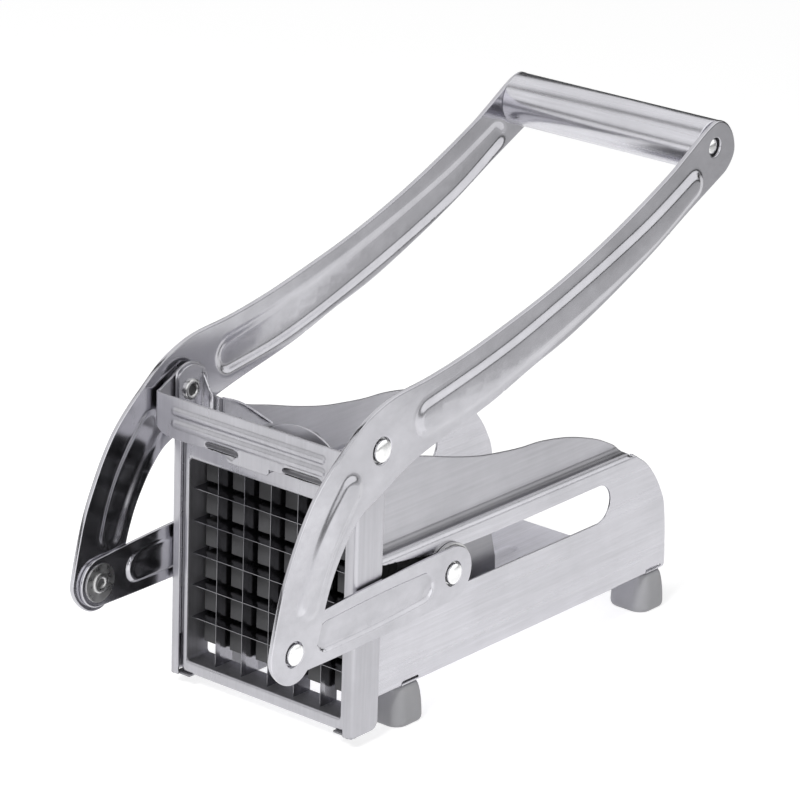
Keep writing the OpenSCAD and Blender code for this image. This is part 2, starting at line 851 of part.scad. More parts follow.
module pusher_block() {
    color("dimgray")
        placed()
            difference() {
                union() {
                    box([-block_half, block_y, pin_bottom], [block_half, block_y + block_t, pin_top]);
                    for (i = [0:cells - 1], j = [0:cells - 1])
                        translate([blade_x(i - 0.5), pin_y, blade_z(j - 0.5)])
                            translate([-pin_side / 2, 0, -pin_w / 2])
                                cube([pin_side, pin_l + block_t / 2, pin_w]);
                }
                for (x = [-screw_x, screw_x], z = [-screw_z, screw_z])
                    translate([x, block_y, grid_z + z])
                        rotate([-90, 0, 0])
                            cylinder(h = block_t + over, r = screw_r);
            }
}

module pusher_screws() {
    color("white")
        placed()
            for (x = [-screw_x, screw_x], z = [-screw_z, screw_z])
                translate([x, block_y, grid_z + z])
                    rotate([-90, 0, 0]) {
                        cylinder(h = block_t + carriage_t, r = screw_r);
                        translate([0, 0, block_t + carriage_t])
                            cylinder(h = screw_head_h, r = screw_head_r);
                    }
}

// Rubber foot: a spreading block under the floor, with a lug that holds it in a floor hole
module round_block(wide, long, r, z, high) {
    translate([0, 0, z])
        linear_extrude(high) {
            square([wide - r * 2, long], center = true);
            square([wide, long - r * 2], center = true);
            for (x = [-1, 1], y = [-1, 1])
                translate([x * (wide / 2 - r), y * (long / 2 - r)])
                    circle(r, $fn = 32);
        }
}

module foot(side, y) {
    color("darkgray")
        placed()
            translate([side * foot_x, y, 0]) {
                round_block(foot_w + foot_spread * 2, foot_l + foot_spread * 2,
                    foot_corner_r + foot_spread, 0, foot_sole_h);
                hull() {
                    round_block(foot_w + foot_spread * 2, foot_l + foot_spread * 2,
                        foot_corner_r + foot_spread, foot_sole_h, run_gap);
                    round_block(foot_w, foot_l, foot_corner_r, foot_h - run_gap, run_gap);
                }
                translate([side * (foot_lug_x - foot_x), 0, foot_h])
                    lug();
            }
}

module lug() {
    translate([-foot_neck_w / 2, -foot_neck_l / 2, -run_gap])
        cube([foot_neck_w, foot_neck_l, sheet_t + run_gap * 3]);
    translate([-foot_neck_w / 2 - foot_lip, -foot_neck_l / 2 - foot_lip, sheet_t + run_gap])
        cube([foot_neck_w + foot_lip * 2, foot_neck_l + foot_lip * 2, foot_lug_h]);
}
foot_sole_h = 2;
foot_overhang = 0.4;
foot_x = wall_out - foot_w / 2 + foot_overhang;
foot_neck_w = 2.6;
foot_neck_l = 8;
foot_lip = 0.7;
foot_lug_h = 1.4;
foot_lug_x = wall_in - foot_neck_w / 2 - foot_lip - side_gap;

module foot_front_left() {
    foot(-1, front_foot_y);
}

module foot_front_right() {
    foot(1, front_foot_y);
}

module foot_rear_left() {
    foot(-1, body_l - rear_foot_gap);
}

module foot_rear_right() {
    foot(1, body_l - rear_foot_gap);
}

body_shell();
guide_channel_left();
guide_channel_right();
header_bracket();
blade_frame();
vertical_blades();
horizontal_blades();
main_pivot_rivets();
pivot_spacers();
lock_flap();
lever_arm_left();
lever_arm_right();
handle_tube();
handle_plugs();
handle_rivets();
lower_pin_heads();
link_left();
link_right();
lower_pin_tails();
lower_washers();
cross_axle();
slot_bushings();
axle_washers();
pusher_carriage();
pusher_block();
pusher_screws();
foot_front_left();
foot_front_right();
foot_rear_left();
foot_rear_right();
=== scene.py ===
"""Looks of the hand-lever cutter for potato sticks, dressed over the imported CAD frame.

Metres, X across, Y from the blades to the rear, Z up. Sizes here are millimetres times MM.
"""
import math

import bmesh
import bpy
import numpy as np
from mathutils import Matrix, Vector
from mathutils.geometry import delaunay_2d_cdt
from mathutils.kdtree import KDTree


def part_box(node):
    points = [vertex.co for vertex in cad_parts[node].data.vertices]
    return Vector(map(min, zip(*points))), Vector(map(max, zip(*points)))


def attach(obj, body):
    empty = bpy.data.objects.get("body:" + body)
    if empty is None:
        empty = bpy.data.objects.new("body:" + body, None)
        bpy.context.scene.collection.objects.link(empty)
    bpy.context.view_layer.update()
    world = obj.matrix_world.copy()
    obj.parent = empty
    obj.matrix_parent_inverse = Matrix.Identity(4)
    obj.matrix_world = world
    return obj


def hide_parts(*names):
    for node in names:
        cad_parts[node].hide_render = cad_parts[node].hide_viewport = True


MM = 0.001
SIDES = (-1, 1)

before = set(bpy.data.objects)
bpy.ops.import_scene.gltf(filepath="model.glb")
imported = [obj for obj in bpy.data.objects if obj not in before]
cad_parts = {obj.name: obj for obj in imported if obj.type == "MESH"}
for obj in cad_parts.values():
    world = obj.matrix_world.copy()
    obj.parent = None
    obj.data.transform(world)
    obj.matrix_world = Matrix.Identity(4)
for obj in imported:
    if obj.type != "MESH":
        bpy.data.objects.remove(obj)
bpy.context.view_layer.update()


def middle(node):
    low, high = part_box(node)
    return (low + high) / 2


def side_name(name, side):
    return name + ("_left" if side < 0 else "_right")


# Boxes and pivots read from the frame
ARM_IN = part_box("lever_arm_right")[0].x
LINK_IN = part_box("link_right")[0].x
LINK_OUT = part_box("link_right")[1].x
GUIDE_LOW, GUIDE_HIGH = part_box("guide_channel_right")
BODY_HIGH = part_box("body_shell")[1]
FRAME_LOW, FRAME_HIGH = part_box("blade_frame")
FLAP_LOW, FLAP_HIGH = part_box("lock_flap")
BLADE_LOW, BLADE_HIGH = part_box("vertical_blades")
HEADER_LOW, HEADER_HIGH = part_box("header_bracket")
TUBE_LOW, TUBE_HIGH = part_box("handle_tube")
HEAD_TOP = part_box("main_pivot_rivets")[1].x
AXLE_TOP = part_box("cross_axle")[1].x
MAIN = middle("pivot_spacers")
LOWER = middle("lower_pin_heads")
AXLE = middle("cross_axle")
GRIP = middle("handle_tube")


# Material nodes

def new_material(name):
    made = bpy.data.materials.new(name)
    made.use_nodes = True
    return made, made.node_tree


def fed(tree, node, inputs):
    """The node with its inputs set to values or wired to other nodes' outputs."""
    for name, value in inputs.items():
        if isinstance(value, bpy.types.NodeSocket):
            tree.links.new(value, node.inputs[name])
        else:
            node.inputs[name].default_value = value
    return node


def added(tree, kind, **inputs):
    return fed(tree, tree.nodes.new(kind), inputs)


def noise(tree, vector, scale, detail, roughness=0.5):
    return added(tree, "ShaderNodeTexNoise", Vector=vector, Scale=scale, Detail=detail,
                 Roughness=roughness).outputs["Fac"]


def ramp(tree, value, *stops):
    """Grey by a value: each stop is a place and its level."""
    made = added(tree, "ShaderNodeValToRGB", Fac=value)
    elements = made.color_ramp.elements
    while len(elements) < len(stops):
        elements.new(0.5)
    for element, (place, level) in zip(elements, stops):
        element.position = place
        element.color = (level, level, level, 1)
    return made.outputs["Color"]


def by_sharpness(tree, *stops):
    """Grey by how hollow, flat or sharp the surface is."""
    return ramp(tree, tree.nodes.new("ShaderNodeNewGeometry").outputs["Pointiness"], *stops)


def object_place(tree):
    return tree.nodes.new("ShaderNodeTexCoord").outputs["Object"]


def stretched(tree, place, grain):
    """Places drawn out along the direction of the brush lines."""
    return added(tree, "ShaderNodeMapping", Vector=place, Scale=grain).outputs["Vector"]


def multiplied(tree, tone, by):
    """The tone times another output or a plain colour."""
    made = tree.nodes.new("ShaderNodeMix")
    made.data_type = "RGBA"
    made.blend_type = "MULTIPLY"
    return fed(tree, made, {"Factor": 1, "A": tone, "B": by}).outputs["Result"]


def relief(tree, height, strength, depth):
    return added(tree, "ShaderNodeBump", Height=height, Strength=strength, Distance=depth).outputs["Normal"]


def set_shader(tree, inputs):
    fed(tree, tree.nodes["Principled BSDF"], inputs)


# Materials

STEEL_TINT = (0.95, 0.943, 1, 1)
COOL_TINT = (1, 1, 1.04, 1)
NO_TINT = (1, 1, 1, 1)
LINES = 0.12
MOTTLE = 0.12
# Level left in hollows: painted shade.
HOLLOW = 0.55


def brushed_steel(name, level, grain, rough):
    """Satin sheet steel: fine lines along the grain, soft mottling, painted shade in the hollows."""
    made, tree = new_material(name)
    place = object_place(tree)
    grain_place = stretched(tree, place, grain)
    fine = noise(tree, grain_place, scale=900, detail=6, roughness=0.65)
    streaks = noise(tree, grain_place, scale=160, detail=4, roughness=0.6)
    cloud = noise(tree, place, scale=42, detail=5, roughness=0.6)
    tone = ramp(tree, cloud, (0.3, level * (1 - MOTTLE)), (0.7, level))
    tone = multiplied(tree, tone, ramp(tree, fine, (0.3, 1 - LINES), (0.7, 1)))
    tone = multiplied(tree, tone, ramp(tree, streaks, (0.3, 1 - LINES * 0.6), (0.7, 1)))
    # Painted shade: hollows are darkened by how concave the surface is.
    tone = multiplied(tree, tone, by_sharpness(tree, (0.4, HOLLOW), (0.5, 1)))
    set_shader(tree, {"Metallic": 1, "Base Color": multiplied(tree, tone, STEEL_TINT),
                      "Roughness": ramp(tree, streaks, (0.25, rough * 0.8), (0.75, rough * 1.25)),
                      "Normal": relief(tree, fine, strength=0.1, depth=0.05 * MM)})
    return made


def polished_steel(name, level, rough):
    """Bright rivet steel with faint handling marks."""
    made, tree = new_material(name)
    marks = noise(tree, object_place(tree), scale=420, detail=4)
    set_shader(tree, {"Metallic": 1, "Base Color": ramp(tree, marks, (0.3, level * 0.85), (0.65, level)),
                      "Roughness": ramp(tree, marks, (0.3, rough), (0.7, rough * 1.8))})
    return made


def moulded(name, level, tint, rough, grain, shine=0.35):
    """Moulded plastic or rubber: fine grain, faint flow marks, paler worn edges, painted shade in the
    hollows.
    """
    made, tree = new_material(name)
    place = object_place(tree)
    fine = noise(tree, place, scale=1400, detail=4)
    cloud = noise(tree, place, scale=60, detail=4)
    tone = ramp(tree, cloud, (0.3, level * 0.88), (0.7, level * 1.06))
    # Painted shade in the hollows; paler worn edges.
    tone = multiplied(tree, tone, by_sharpness(tree, (0.45, 0.8), (0.5, 1), (0.6, 1.25)))
    set_shader(tree, {"Specular IOR Level": shine, "Base Color": multiplied(tree, tone, tint),
                      "Roughness": ramp(tree, fine, (0.3, rough * 0.9), (0.7, rough * 1.1)),
                      "Normal": relief(tree, fine, strength=grain, depth=0.06 * MM)})
    return made


ALONG_X = (0.03, 1, 1)
ALONG_Y = (1, 0.03, 1)
ALONG_Z = (1, 1, 0.03)
ALONG_ARM = (1, 0.12, 0.2)

BODY_STEEL = brushed_steel("body_steel_look", 0.68, ALONG_Y, rough=0.25)
# The panel is the body's own sheet painted darker, as shade; it is also rougher.
PANEL_SHADED_STEEL = brushed_steel("panel_painted_shade_look", 0.57, ALONG_Y, rough=0.34)
# The floor is the body's own sheet painted paler, as light; it is also much rougher.
FLOOR_LIT_STEEL = brushed_steel("floor_painted_light_look", 0.98, ALONG_Y, rough=0.8)
# The shoulder's step is the body's own sheet painted dark: a painted shadow band.
STEP_SHADED_STEEL = brushed_steel("step_painted_shade_look", 0.36, ALONG_Y, rough=0.28)
ARM_STEEL = brushed_steel("arm_steel_look", 0.63, ALONG_ARM, rough=0.15)
TUBE_STEEL = brushed_steel("tube_steel_look", 0.8, ALONG_X, rough=0.26)
FRAME_STEEL = brushed_steel("frame_steel_look", 0.57, ALONG_Z, rough=0.3)
# Painted shade: darker, rougher steel for the frame's sleeve, the frame's top under the flap and the guides'
# bottom tabs.
SLEEVE_SHADED_STEEL = brushed_steel("sleeve_painted_shade_look", 0.36, ALONG_Z, rough=0.6)
HEADER_STEEL = brushed_steel("header_steel_look", 0.72, ALONG_X, rough=0.34)
BLADE_STEEL = brushed_steel("blade_steel_look", 0.42, ALONG_X, rough=0.2)
# The carriage inside the body is painted darker, as shade.
INNER_SHADED_STEEL = brushed_steel("inner_painted_shade_look", 0.38, ALONG_Y, rough=0.4)
RIVET_STEEL = polished_steel("rivet_steel_look", 0.96, rough=0.16)
DULL_STEEL = polished_steel("washer_steel_look", 0.55, rough=0.22)
TAIL_STEEL = polished_steel("tail_steel_look", 0.6, rough=0.2)
PUSHER_PLASTIC = moulded("pusher_plastic_look", 0.075, COOL_TINT, rough=0.55, grain=0.25)
BUSHING_PLASTIC = moulded("bushing_plastic_look", 0.3, NO_TINT, rough=0.5, grain=0.2)
SHADE_STEEL = moulded("shaded_steel_look", 0.015, NO_TINT, rough=0.9, grain=0.2, shine=0.05)
FOOT_RUBBER = moulded("foot_rubber_look", 0.43, COOL_TINT, rough=0.65, grain=0.4)


# Mesh tools

def piece(name, mesh, materials, body, slot, nodes=()):
    """A finished piece: it rides on its body and stands for its CAD nodes."""
    made = bpy.data.objects.new(name, mesh)
    bpy.context.scene.collection.objects.link(made)
    for material in materials:
        mesh.materials.append(material)
    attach(made, body)
    if nodes:
        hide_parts(*nodes)
    return made


def smoothed(mesh, sharp_from):
    """Smooth shading, with the edges that turn by more than sharp_from degrees kept sharp."""
    for polygon in mesh.polygons:
        polygon.use_smooth = True
    mesh.set_sharp_from_angle(angle=math.radians(sharp_from))
    return mesh


def painted(mesh, looks, choose):
    """Give each face the one of its looks that choose names for the place of its middle."""
    for polygon in mesh.polygons:
        polygon.material_index = looks.index(choose(*polygon.center))
    return mesh


def mesh_from(name, points, faces, smooth=True):
    mesh = bpy.data.meshes.new(name)
    mesh.from_pydata([tuple(p) for p in points], [], [tuple(f) for f in faces])
    mesh.validate()
    for polygon in mesh.polygons:
        polygon.use_smooth = smooth
    mesh.update()
    return mesh


def opened(mesh):
    made = bmesh.new()
    made.from_mesh(mesh)
    return made


def written(made, mesh):
    made.to_mesh(mesh)
    made.free()
    return mesh


def facing_out(mesh):
    """Drop points that no face uses, and turn all faces outwards."""
    made = opened(mesh)
    bmesh.ops.delete(made, geom=[v for v in made.verts if not v.link_faces], context="VERTS")
    bmesh.ops.recalc_face_normals(made, faces=made.faces)
    return written(made, mesh)


def capped(mesh):
    """Close the ends of a lofted mesh, and turn its faces outwards."""
    made = opened(mesh)
    bmesh.ops.holes_fill(made, edges=[e for e in made.edges if e.is_boundary], sides=0)
    bmesh.ops.recalc_face_normals(made, faces=made.faces)
    return written(made, mesh)


def merged(node):
    """A copy of a CAD node's mesh with its seams closed and its flat faces made whole."""
    made = opened(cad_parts[node].data)
    bmesh.ops.remove_doubles(made, verts=made.verts, dist=0.002 * MM)
    bmesh.ops.dissolve_limit(made, angle_limit=math.radians(0.5), verts=made.verts, edges=made.edges)
    return made


ROUNDED_FROM = math.radians(25)


def softened(node, width, material, body, slot):
    """The node's own form with its sharp edges rounded off."""
    made = merged(node)
    edges = [e for e in made.edges if len(e.link_faces) == 2 and e.calc_face_angle(0) > ROUNDED_FROM]
    bmesh.ops.bevel(made, geom=edges, offset=width, segments=2, affect="EDGES", profile=0.5,
                    clamp_overlap=True)
    bmesh.ops.triangulate(made, faces=[f for f in made.faces if len(f.verts) > 4])
    mesh = smoothed(written(made, bpy.data.meshes.new(node)), sharp_from=50)
    shown = piece(node + "_shown", mesh, [material], body, slot, [node])
    weighted = shown.modifiers.new("weighted", "WEIGHTED_NORMAL")
    weighted.keep_sharp = True


def rounded_slab(low, high):
    """Box with rounded edges."""
    low, high = Vector(low), Vector(high)
    made = bmesh.new()
    place = Matrix.Translation((high + low) / 2) @ Matrix.Diagonal((*(high - low), 1))
    bmesh.ops.create_cube(made, size=1, matrix=place)
    bmesh.ops.bevel(made, geom=made.edges[:], offset=SHEET_EDGE, segments=2, affect="EDGES", profile=0.5)
    return smoothed(written(made, bpy.data.meshes.new("slab")), sharp_from=60)


# Outlines

def area(loop):
    x, y = loop[:, 0], loop[:, 1]
    return (x * np.roll(y, -1) - np.roll(x, -1) * y).sum() / 2


def anticlockwise(loop):
    return loop if area(loop) > 0 else loop[::-1]


def face_loops(node, x):
    """Closed (y, z) outlines of a node's flat faces in the plane at x, the longest first."""
    made = merged(node)
    flat = {f for f in made.faces if all(abs(v.co.x - x) < 0.01 * MM for v in f.verts)}
    links = {}
    for edge in made.edges:
        if sum(f in flat for f in edge.link_faces) == 1:
            for a, b in (edge.verts, reversed(edge.verts)):
                links.setdefault(a, []).append(b)
    loops, seen = [], set()
    for start in links:
        loop, ahead = [], [start] if start not in seen else []
        while ahead:
            here = ahead[0]
            seen.add(here)
            loop.append((here.co.y, here.co.z))
            ahead = [v for v in links[here] if v not in seen]
        if loop:
            loops.append(np.array(loop))
    made.free()
    loops.sort(key=lambda p: -np.ptp(p, axis=0).sum())
    return [anticlockwise(p) for p in loops]


def heading(angle):
    return np.array([math.cos(angle), math.sin(angle)])


def outward(angle):
    """To the right of a heading."""
    return np.array([math.sin(angle), -math.cos(angle)])


def arc_points(centre, radius, start, end, count):
    return [np.array(centre) + radius * heading(math.radians(start + (end - start) * k / count))
            for k in range(count + 1)]


def round_hole(centre, radius, count):
    return np.array(arc_points(centre, radius, 0, 360, count)[:-1])


def round_ended(start, end, level, radius, count):
    """Opening along the first axis with half-round ends."""
    return np.array(arc_points((end - radius, level), radius, -90, 90, count)
                    + arc_points((start + radius, level), radius, 90, 270, count))


def spline(a, b, c, d, t):
    """Smooth curve from b, where t is 0, to c, where t is 1; a and d are the points beyond."""
    return 0.5 * (2 * b + (c - a) * t + (2 * a - 5 * b + 4 * c - d) * t * t
                  + (3 * b - a - 3 * c + d) * t ** 3)


def limited(vector, longest):
    return vector * min(1, longest / max(np.linalg.norm(vector), 1e-9))


CORNER = math.radians(32)
REACH_SHARE = 1.5


def fine_loop(points, gap):
    """The closed outline in short steps: curved between smooth points, straight beside corners."""
    count = len(points)
    edge = np.roll(points, -1, axis=0) - points
    course = np.arctan2(edge[:, 1], edge[:, 0])
    turn = np.abs((course - np.roll(course, 1) + math.pi) % (2 * math.pi) - math.pi)
    sharp = turn > CORNER
    made = []
    for i in range(count):
        b, c = points[i], points[(i + 1) % count]
        a = b - (c - b) if sharp[i] else points[i - 1]
        d = c + (c - b) if sharp[(i + 1) % count] else points[(i + 2) % count]
        length = np.linalg.norm(c - b)
        a = b + limited(a - b, REACH_SHARE * length)
        d = c + limited(d - c, REACH_SHARE * length)
        steps = max(1, math.ceil(length / gap))
        made.extend(spline(a, b, c, d, k / steps) for k in range(steps))
    return np.array(made)


def along(points, steps):
    """Smooth line through points, in short steps."""
    p = np.array(points, float)
    made = []
    for i in range(len(p) - 1):
        before, after = p[max(i - 1, 0)], p[min(i + 2, len(p) - 1)]
        made += [spline(before, p[i], p[i + 1], after, k / steps) for k in range(steps)]
    return np.array(made + [p[-1]])


def inset(loop, depth):
    """The outline moved inwards (the outline runs anticlockwise) by depth."""
    ahead = np.roll(loop, -1, axis=0) - loop
    behind = loop - np.roll(loop, 1, axis=0)
    ahead /= np.linalg.norm(ahead, axis=1)[:, None]
    behind /= np.linalg.norm(behind, axis=1)[:, None]
    normal = np.stack([-(ahead + behind)[:, 1], (ahead + behind)[:, 0]], axis=1)
    normal /= np.linalg.norm(normal, axis=1)[:, None]
    square = np.stack([-ahead[:, 1], ahead[:, 0]], axis=1)
    return loop + normal * (depth / np.clip((normal * square).sum(1), 0.5, 1))[:, None]


def inside(points, loop):
    x, y = points[:, 0][:, None], points[:, 1][:, None]
    x0, y0 = loop[:, 0], loop[:, 1]
    x1, y1 = np.roll(x0, -1), np.roll(y0, -1)
    crosses = (y0 > y) != (y1 > y)
    with np.errstate(divide="ignore", invalid="ignore"):
        at = x0 + (y - y0) / (y1 - y0) * (x1 - x0)
    return (crosses & (x < at)).sum(1) % 2 == 1


def in_sheet(points, loops):
    """Inside the outline, which is the first loop, and outside the holes, which are the others."""
    made = inside(points, loops[0])
    for hole in loops[1:]:
        made &= ~inside(points, hole)
    return made


# Sheets: a flat pattern with rounded edges, folded into space

EDGE_SHARES = (0, 0.08, 0.3, 0.62, 1, 1.9)
RIM_CLEAR_SHARE = 0.8
GRID_ROW_SHARE = 0.87
GRID_CLEAR_SHARE = 0.55
PER_METRE = 1000
SHEET_EDGE = 0.25 * MM


def edge_drop(share, radius):
    """How far the skin falls away at a share of the edge radius from the outline."""
    return radius * (1 - math.sqrt(1 - (1 - min(share, 1)) ** 2))


def rim_rings(loops, edge):
    """Rings inwards from each outline: their points, their drops and each outline's indexes."""
    points, drops, rims = [], [], []
    for loop in loops:
        rims.append(range(len(points), len(points) + len(loop)))
        for share in EDGE_SHARES:
            points.extend(loop if share == 0 else inset(loop, share * edge))
            drops.extend([edge_drop(share, edge)] * len(loop))
    return points, drops, rims


def search_tree(points):
    made = KDTree(len(points))
    for i, p in enumerate(points):
        made.insert((p[0], p[1], 0), i)
    made.balance()
    return made


def away(cloud, taken, clear):
    """Those points of a cloud that are clear of the points already taken."""
    return np.array([p for p in cloud if taken.find((p[0], p[1], 0))[2] > clear]).reshape(-1, 2)


def filling(loops, rim, rows, spacing, edge):
    """Points inside the rims: those of the rows, then a loose grid where there is room."""
    near_rim = edge * EDGE_SHARES[-1] * RIM_CLEAR_SHARE
    taken = search_tree(rim)
    fine = np.concatenate(rows)
    fine = away(fine[in_sheet(fine, loops)], taken, near_rim)
    low, high = loops[0].min(0), loops[0].max(0)
    across = np.arange(low[0], high[0], spacing)
    up = np.arange(low[1], high[1], spacing * GRID_ROW_SHARE)
    grid = np.array([[x + (j % 2) * spacing / 2, y] for j, y in enumerate(up) for x in across])
    grid = away(grid[in_sheet(grid, loops)], taken, near_rim)
    grid = away(grid, search_tree([*rim, *fine]), spacing * GRID_CLEAR_SHARE)
    return np.concatenate([fine, grid])


def triangulated(flat, drop, rims, loops):
    """Triangles of the flat pattern, with its points and drops in their new order."""
    edges = [(rim[i], rim[(i + 1) % len(rim)]) for rim in rims for i in range(len(rim))]
    points = [Vector(p * PER_METRE) for p in flat]
    verts, _, triangles, origin, _, _ = delaunay_2d_cdt(points, edges, [], 0, 1e-6, True)
    kept = np.array([o[0] if o else -1 for o in origin])
    drop = np.where(kept >= 0, drop[np.maximum(kept, 0)], 0)
    flat = np.array([list(v) for v in verts]) / PER_METRE
    centre = np.array([[flat[i] for i in t] for t in triangles]).mean(1)
    return flat, drop, [t for t, good in zip(triangles, in_sheet(centre, loops)) if good]


def two_skins(name, top, bottom, triangles):
    """Both faces of a sheet and the narrow strip round its outlines."""
    count = len(top)
    faces = [tuple(t) for t in triangles] + [tuple(i + count for i in reversed(t)) for t in triangles]
    used = dict.fromkeys((t[k], t[(k + 1) % 3]) for t in triangles for k in range(3))
    faces += [(b, a, a + count, b + count) for a, b in used if (b, a) not in used]
    return facing_out(mesh_from(name, top + bottom, faces))


def sheet_mesh(name, outline, holes, place, thick, spacing, rows, edge=SHEET_EDGE, grooves=None):
    """Pressed sheet: a flat pattern with grooves, folded into space by place(u, v, height).

    The outline and holes get rounded edges. rows are extra points that carry bends and grooves.
    """
    loops = [outline] + [anticlockwise(hole)[::-1] for hole in holes]
    rim, drops, rims = rim_rings(loops, edge)
    fill = filling(loops, rim, rows, spacing, edge)
    flat = np.concatenate([np.array(rim), fill])
    drop = np.concatenate([np.array(drops), np.zeros(len(fill))])
    flat, drop, triangles = triangulated(flat, drop, rims, loops)
    height = grooves.height(flat) if grooves else np.zeros(len(flat))
    top = [place(u, v, h - d) for (u, v), h, d in zip(flat, height, drop)]
    bottom = [place(u, v, h - thick + d) for (u, v), h, d in zip(flat, height, drop)]
    return two_skins(name, top, bottom, triangles)


def side_place(outer, side):
    """Upright plate: u is Y, v is Z, and height points away from the middle."""
    return lambda u, v, h: (side * (outer + h), u, v)


BEND_STEPS = 6
BESIDE_BEND = 0.6 * MM


class BentPath:
    """Outer face of a bent sheet, seen along its bends: straight runs and arcs."""

    def __init__(self, start, angle):
        self.point = np.array(start, float)
        self.angle = math.radians(angle)
        self.length = 0
        self.parts = []
        self.bends = []

    def run(self, length):
        self.parts.append((self.length, self.point, self.angle, 0, 0))
        self.point = self.point + length * heading(self.angle)
        self.length += length
        return self

    def turn(self, degrees, radius):
        way = 1 if degrees > 0 else -1
        swing = abs(math.radians(degrees))
        hub = self.point - way * radius * outward(self.angle)
        self.parts.append((self.length, hub, self.angle, way, radius))
        self.bends.append((self.length, self.length + radius * swing))
        self.angle += way * swing
        self.point = hub + way * radius * outward(self.angle)
        self.length += radius * swing
        return self

    def at(self, s):
        """Point and outward direction at a distance along the path."""
        begun = [part for part in self.parts if part[0] <= s + 1e-9] if s > 0 else self.parts[:1]
        start, point, angle, way, radius = begun[-1]
        if not way:
            return point + (s - start) * heading(angle), outward(angle)
        facing = outward(angle + way * (s - start) / radius)
        return point + way * radius * facing, facing

    def rows(self, low, high, gap):
        """Points that carry the bends: rows across them, at places from low to high along them."""
        made = []
        for start, end in self.bends:
            for s in (start - BESIDE_BEND, *np.linspace(start, end, BEND_STEPS + 1), end + BESIDE_BEND):
                made.append(np.array([(s, place) for place in np.arange(low, high, gap)]))
        return made


def upright_fold(path, side):
    """Sheet bent round upright edges: u runs along the path in plan, v is Z."""
    def place(u, v, h):
        point, facing = path.at(u)
        x, y = point + h * facing
        return side * x, y, v
    return place


# Pressed grooves: a middle line of points, each with the half-width there

RAMP_RING_SHARES = (-0.5, -0.32, -0.16, 0, 0.16, 0.32, 0.5, 0.75)


def band_distance(points, line):
    """Signed distance from the band round a middle line; negative inside it."""
    best = np.full(len(points), 1e9)
    for a, b in zip(line[:-1], line[1:]):
        run = b[:2] - a[:2]
        t = np.clip(((points - a[:2]) @ run) / (run @ run), 0, 1)
        near = a[:2] + t[:, None] * run
        best = np.minimum(best, np.linalg.norm(points - near, axis=1) - (a[2] + t * (b[2] - a[2])))
    return best


def line_normals(line):
    """Directions along a line, and those to its left."""
    turn = np.gradient(line[:, :2], axis=0)
    turn /= np.linalg.norm(turn, axis=1)[:, None]
    return turn, np.stack([-turn[:, 1], turn[:, 0]], axis=1)


def band_ring(line, grow, gap):
    """Points round a band at a distance from its edge."""
    turn, normal = line_normals(line)
    made = []
    for side in SIDES:
        made.extend(line[:, :2] + side * normal * (line[:, 2:3] + grow))
    for end, way in ((0, -1), (-1, 1)):
        radius = line[end, 2] + grow
        count = max(5, math.ceil(math.pi * radius / gap))
        facing = math.atan2(*(way * turn[end])[::-1])
        for k in range(1, count):
            made.append(line[end, :2] + radius * heading(facing - math.pi / 2 + math.pi * k / count))
    return np.array(made)


class Grooves:
    """Grooves alike: their middle lines, the width of their soft edges and how far they rise."""

    def __init__(self, lines, ramp, rise):
        self.lines = lines
        self.ramp = ramp
        self.rise = rise

    def rows(self, gap=1.1 * MM):
        return [band_ring(line, share * self.ramp, gap) for line in self.lines for share in RAMP_RING_SHARES]

    def height(self, points):
        """The full rise inside, and a soft S-curve across the edges."""
        made = np.zeros(len(points))
        for line in self.lines:
            share = np.clip(0.5 - band_distance(points, line) / self.ramp, 0, 1)
            made += self.rise * share * share * (3 - 2 * share)
        return made


def in_shares(start, end, shares):
    """Middle line by shares of the distance from start to end: along it, across it and half-width."""
    start, end = (np.array((pivot.y, pivot.z)) for pivot in (start, end))
    run = end - start
    across = np.array([-run[1], run[0]])
    return [[*(start + s * run + off * across), half * np.linalg.norm(run)] for s, off, half in shares]


# Sizes that several pieces share

SHEET = 0.8 * MM
NEAR = 0.1 * MM
PIN_HOLE_R = 2.65 * MM
MAIN_HEAD_R = 4.4 * MM
LOWER_HEAD_R = 4.2 * MM
GRIP_HEAD_R = 3.2 * MM
EAR_R = 8.2 * MM
EAR_GAP = 1.4 * MM
ARM_OUT = ARM_IN + 1.5 * MM
WALL_OUT = BODY_HIGH.x


# Lever arms and links: flat plates with pressed grooves

DRIVE_GROOVE_SHARES = ((0.22, 0.044, 0.059), (0.34, 0.079, 0.064), (0.48, 0.102, 0.068),
                       (0.62, 0.106, 0.068), (0.76, 0.096, 0.066))
GRIP_GROOVE_SHARES = ((0.125, -0.016, 0.028), (0.25, -0.037, 0.031), (0.37, -0.049, 0.03),
                      (0.51, -0.055, 0.029), (0.65, -0.057, 0.028), (0.79, -0.053, 0.026),
                      (0.92, -0.037, 0.022))
LINK_GROOVE_SHARES = ((0.22, 0, 0.062), (0.42, 0, 0.066), (0.62, 0, 0.066), (0.81, 0, 0.06))
ARM_GROOVES = Grooves([along(in_shares(LOWER, MAIN, DRIVE_GROOVE_SHARES), 6),
                       along(in_shares(MAIN, GRIP, GRIP_GROOVE_SHARES), 16)], ramp=4 * MM, rise=0.95 * MM)
LINK_GROOVES = Grooves([along(in_shares(LOWER, AXLE, LINK_GROOVE_SHARES), 8)], ramp=1.3 * MM, rise=-0.8 * MM)
ARM_HOLES = ((MAIN, MAIN_HEAD_R), (LOWER, LOWER_HEAD_R), (GRIP, GRIP_HEAD_R))
LINK_HOLES = ((LOWER, PIN_HOLE_R), (AXLE, LOWER_HEAD_R))
ARM_EDGE = 0.4 * MM
LINK_EDGE = 0.35 * MM


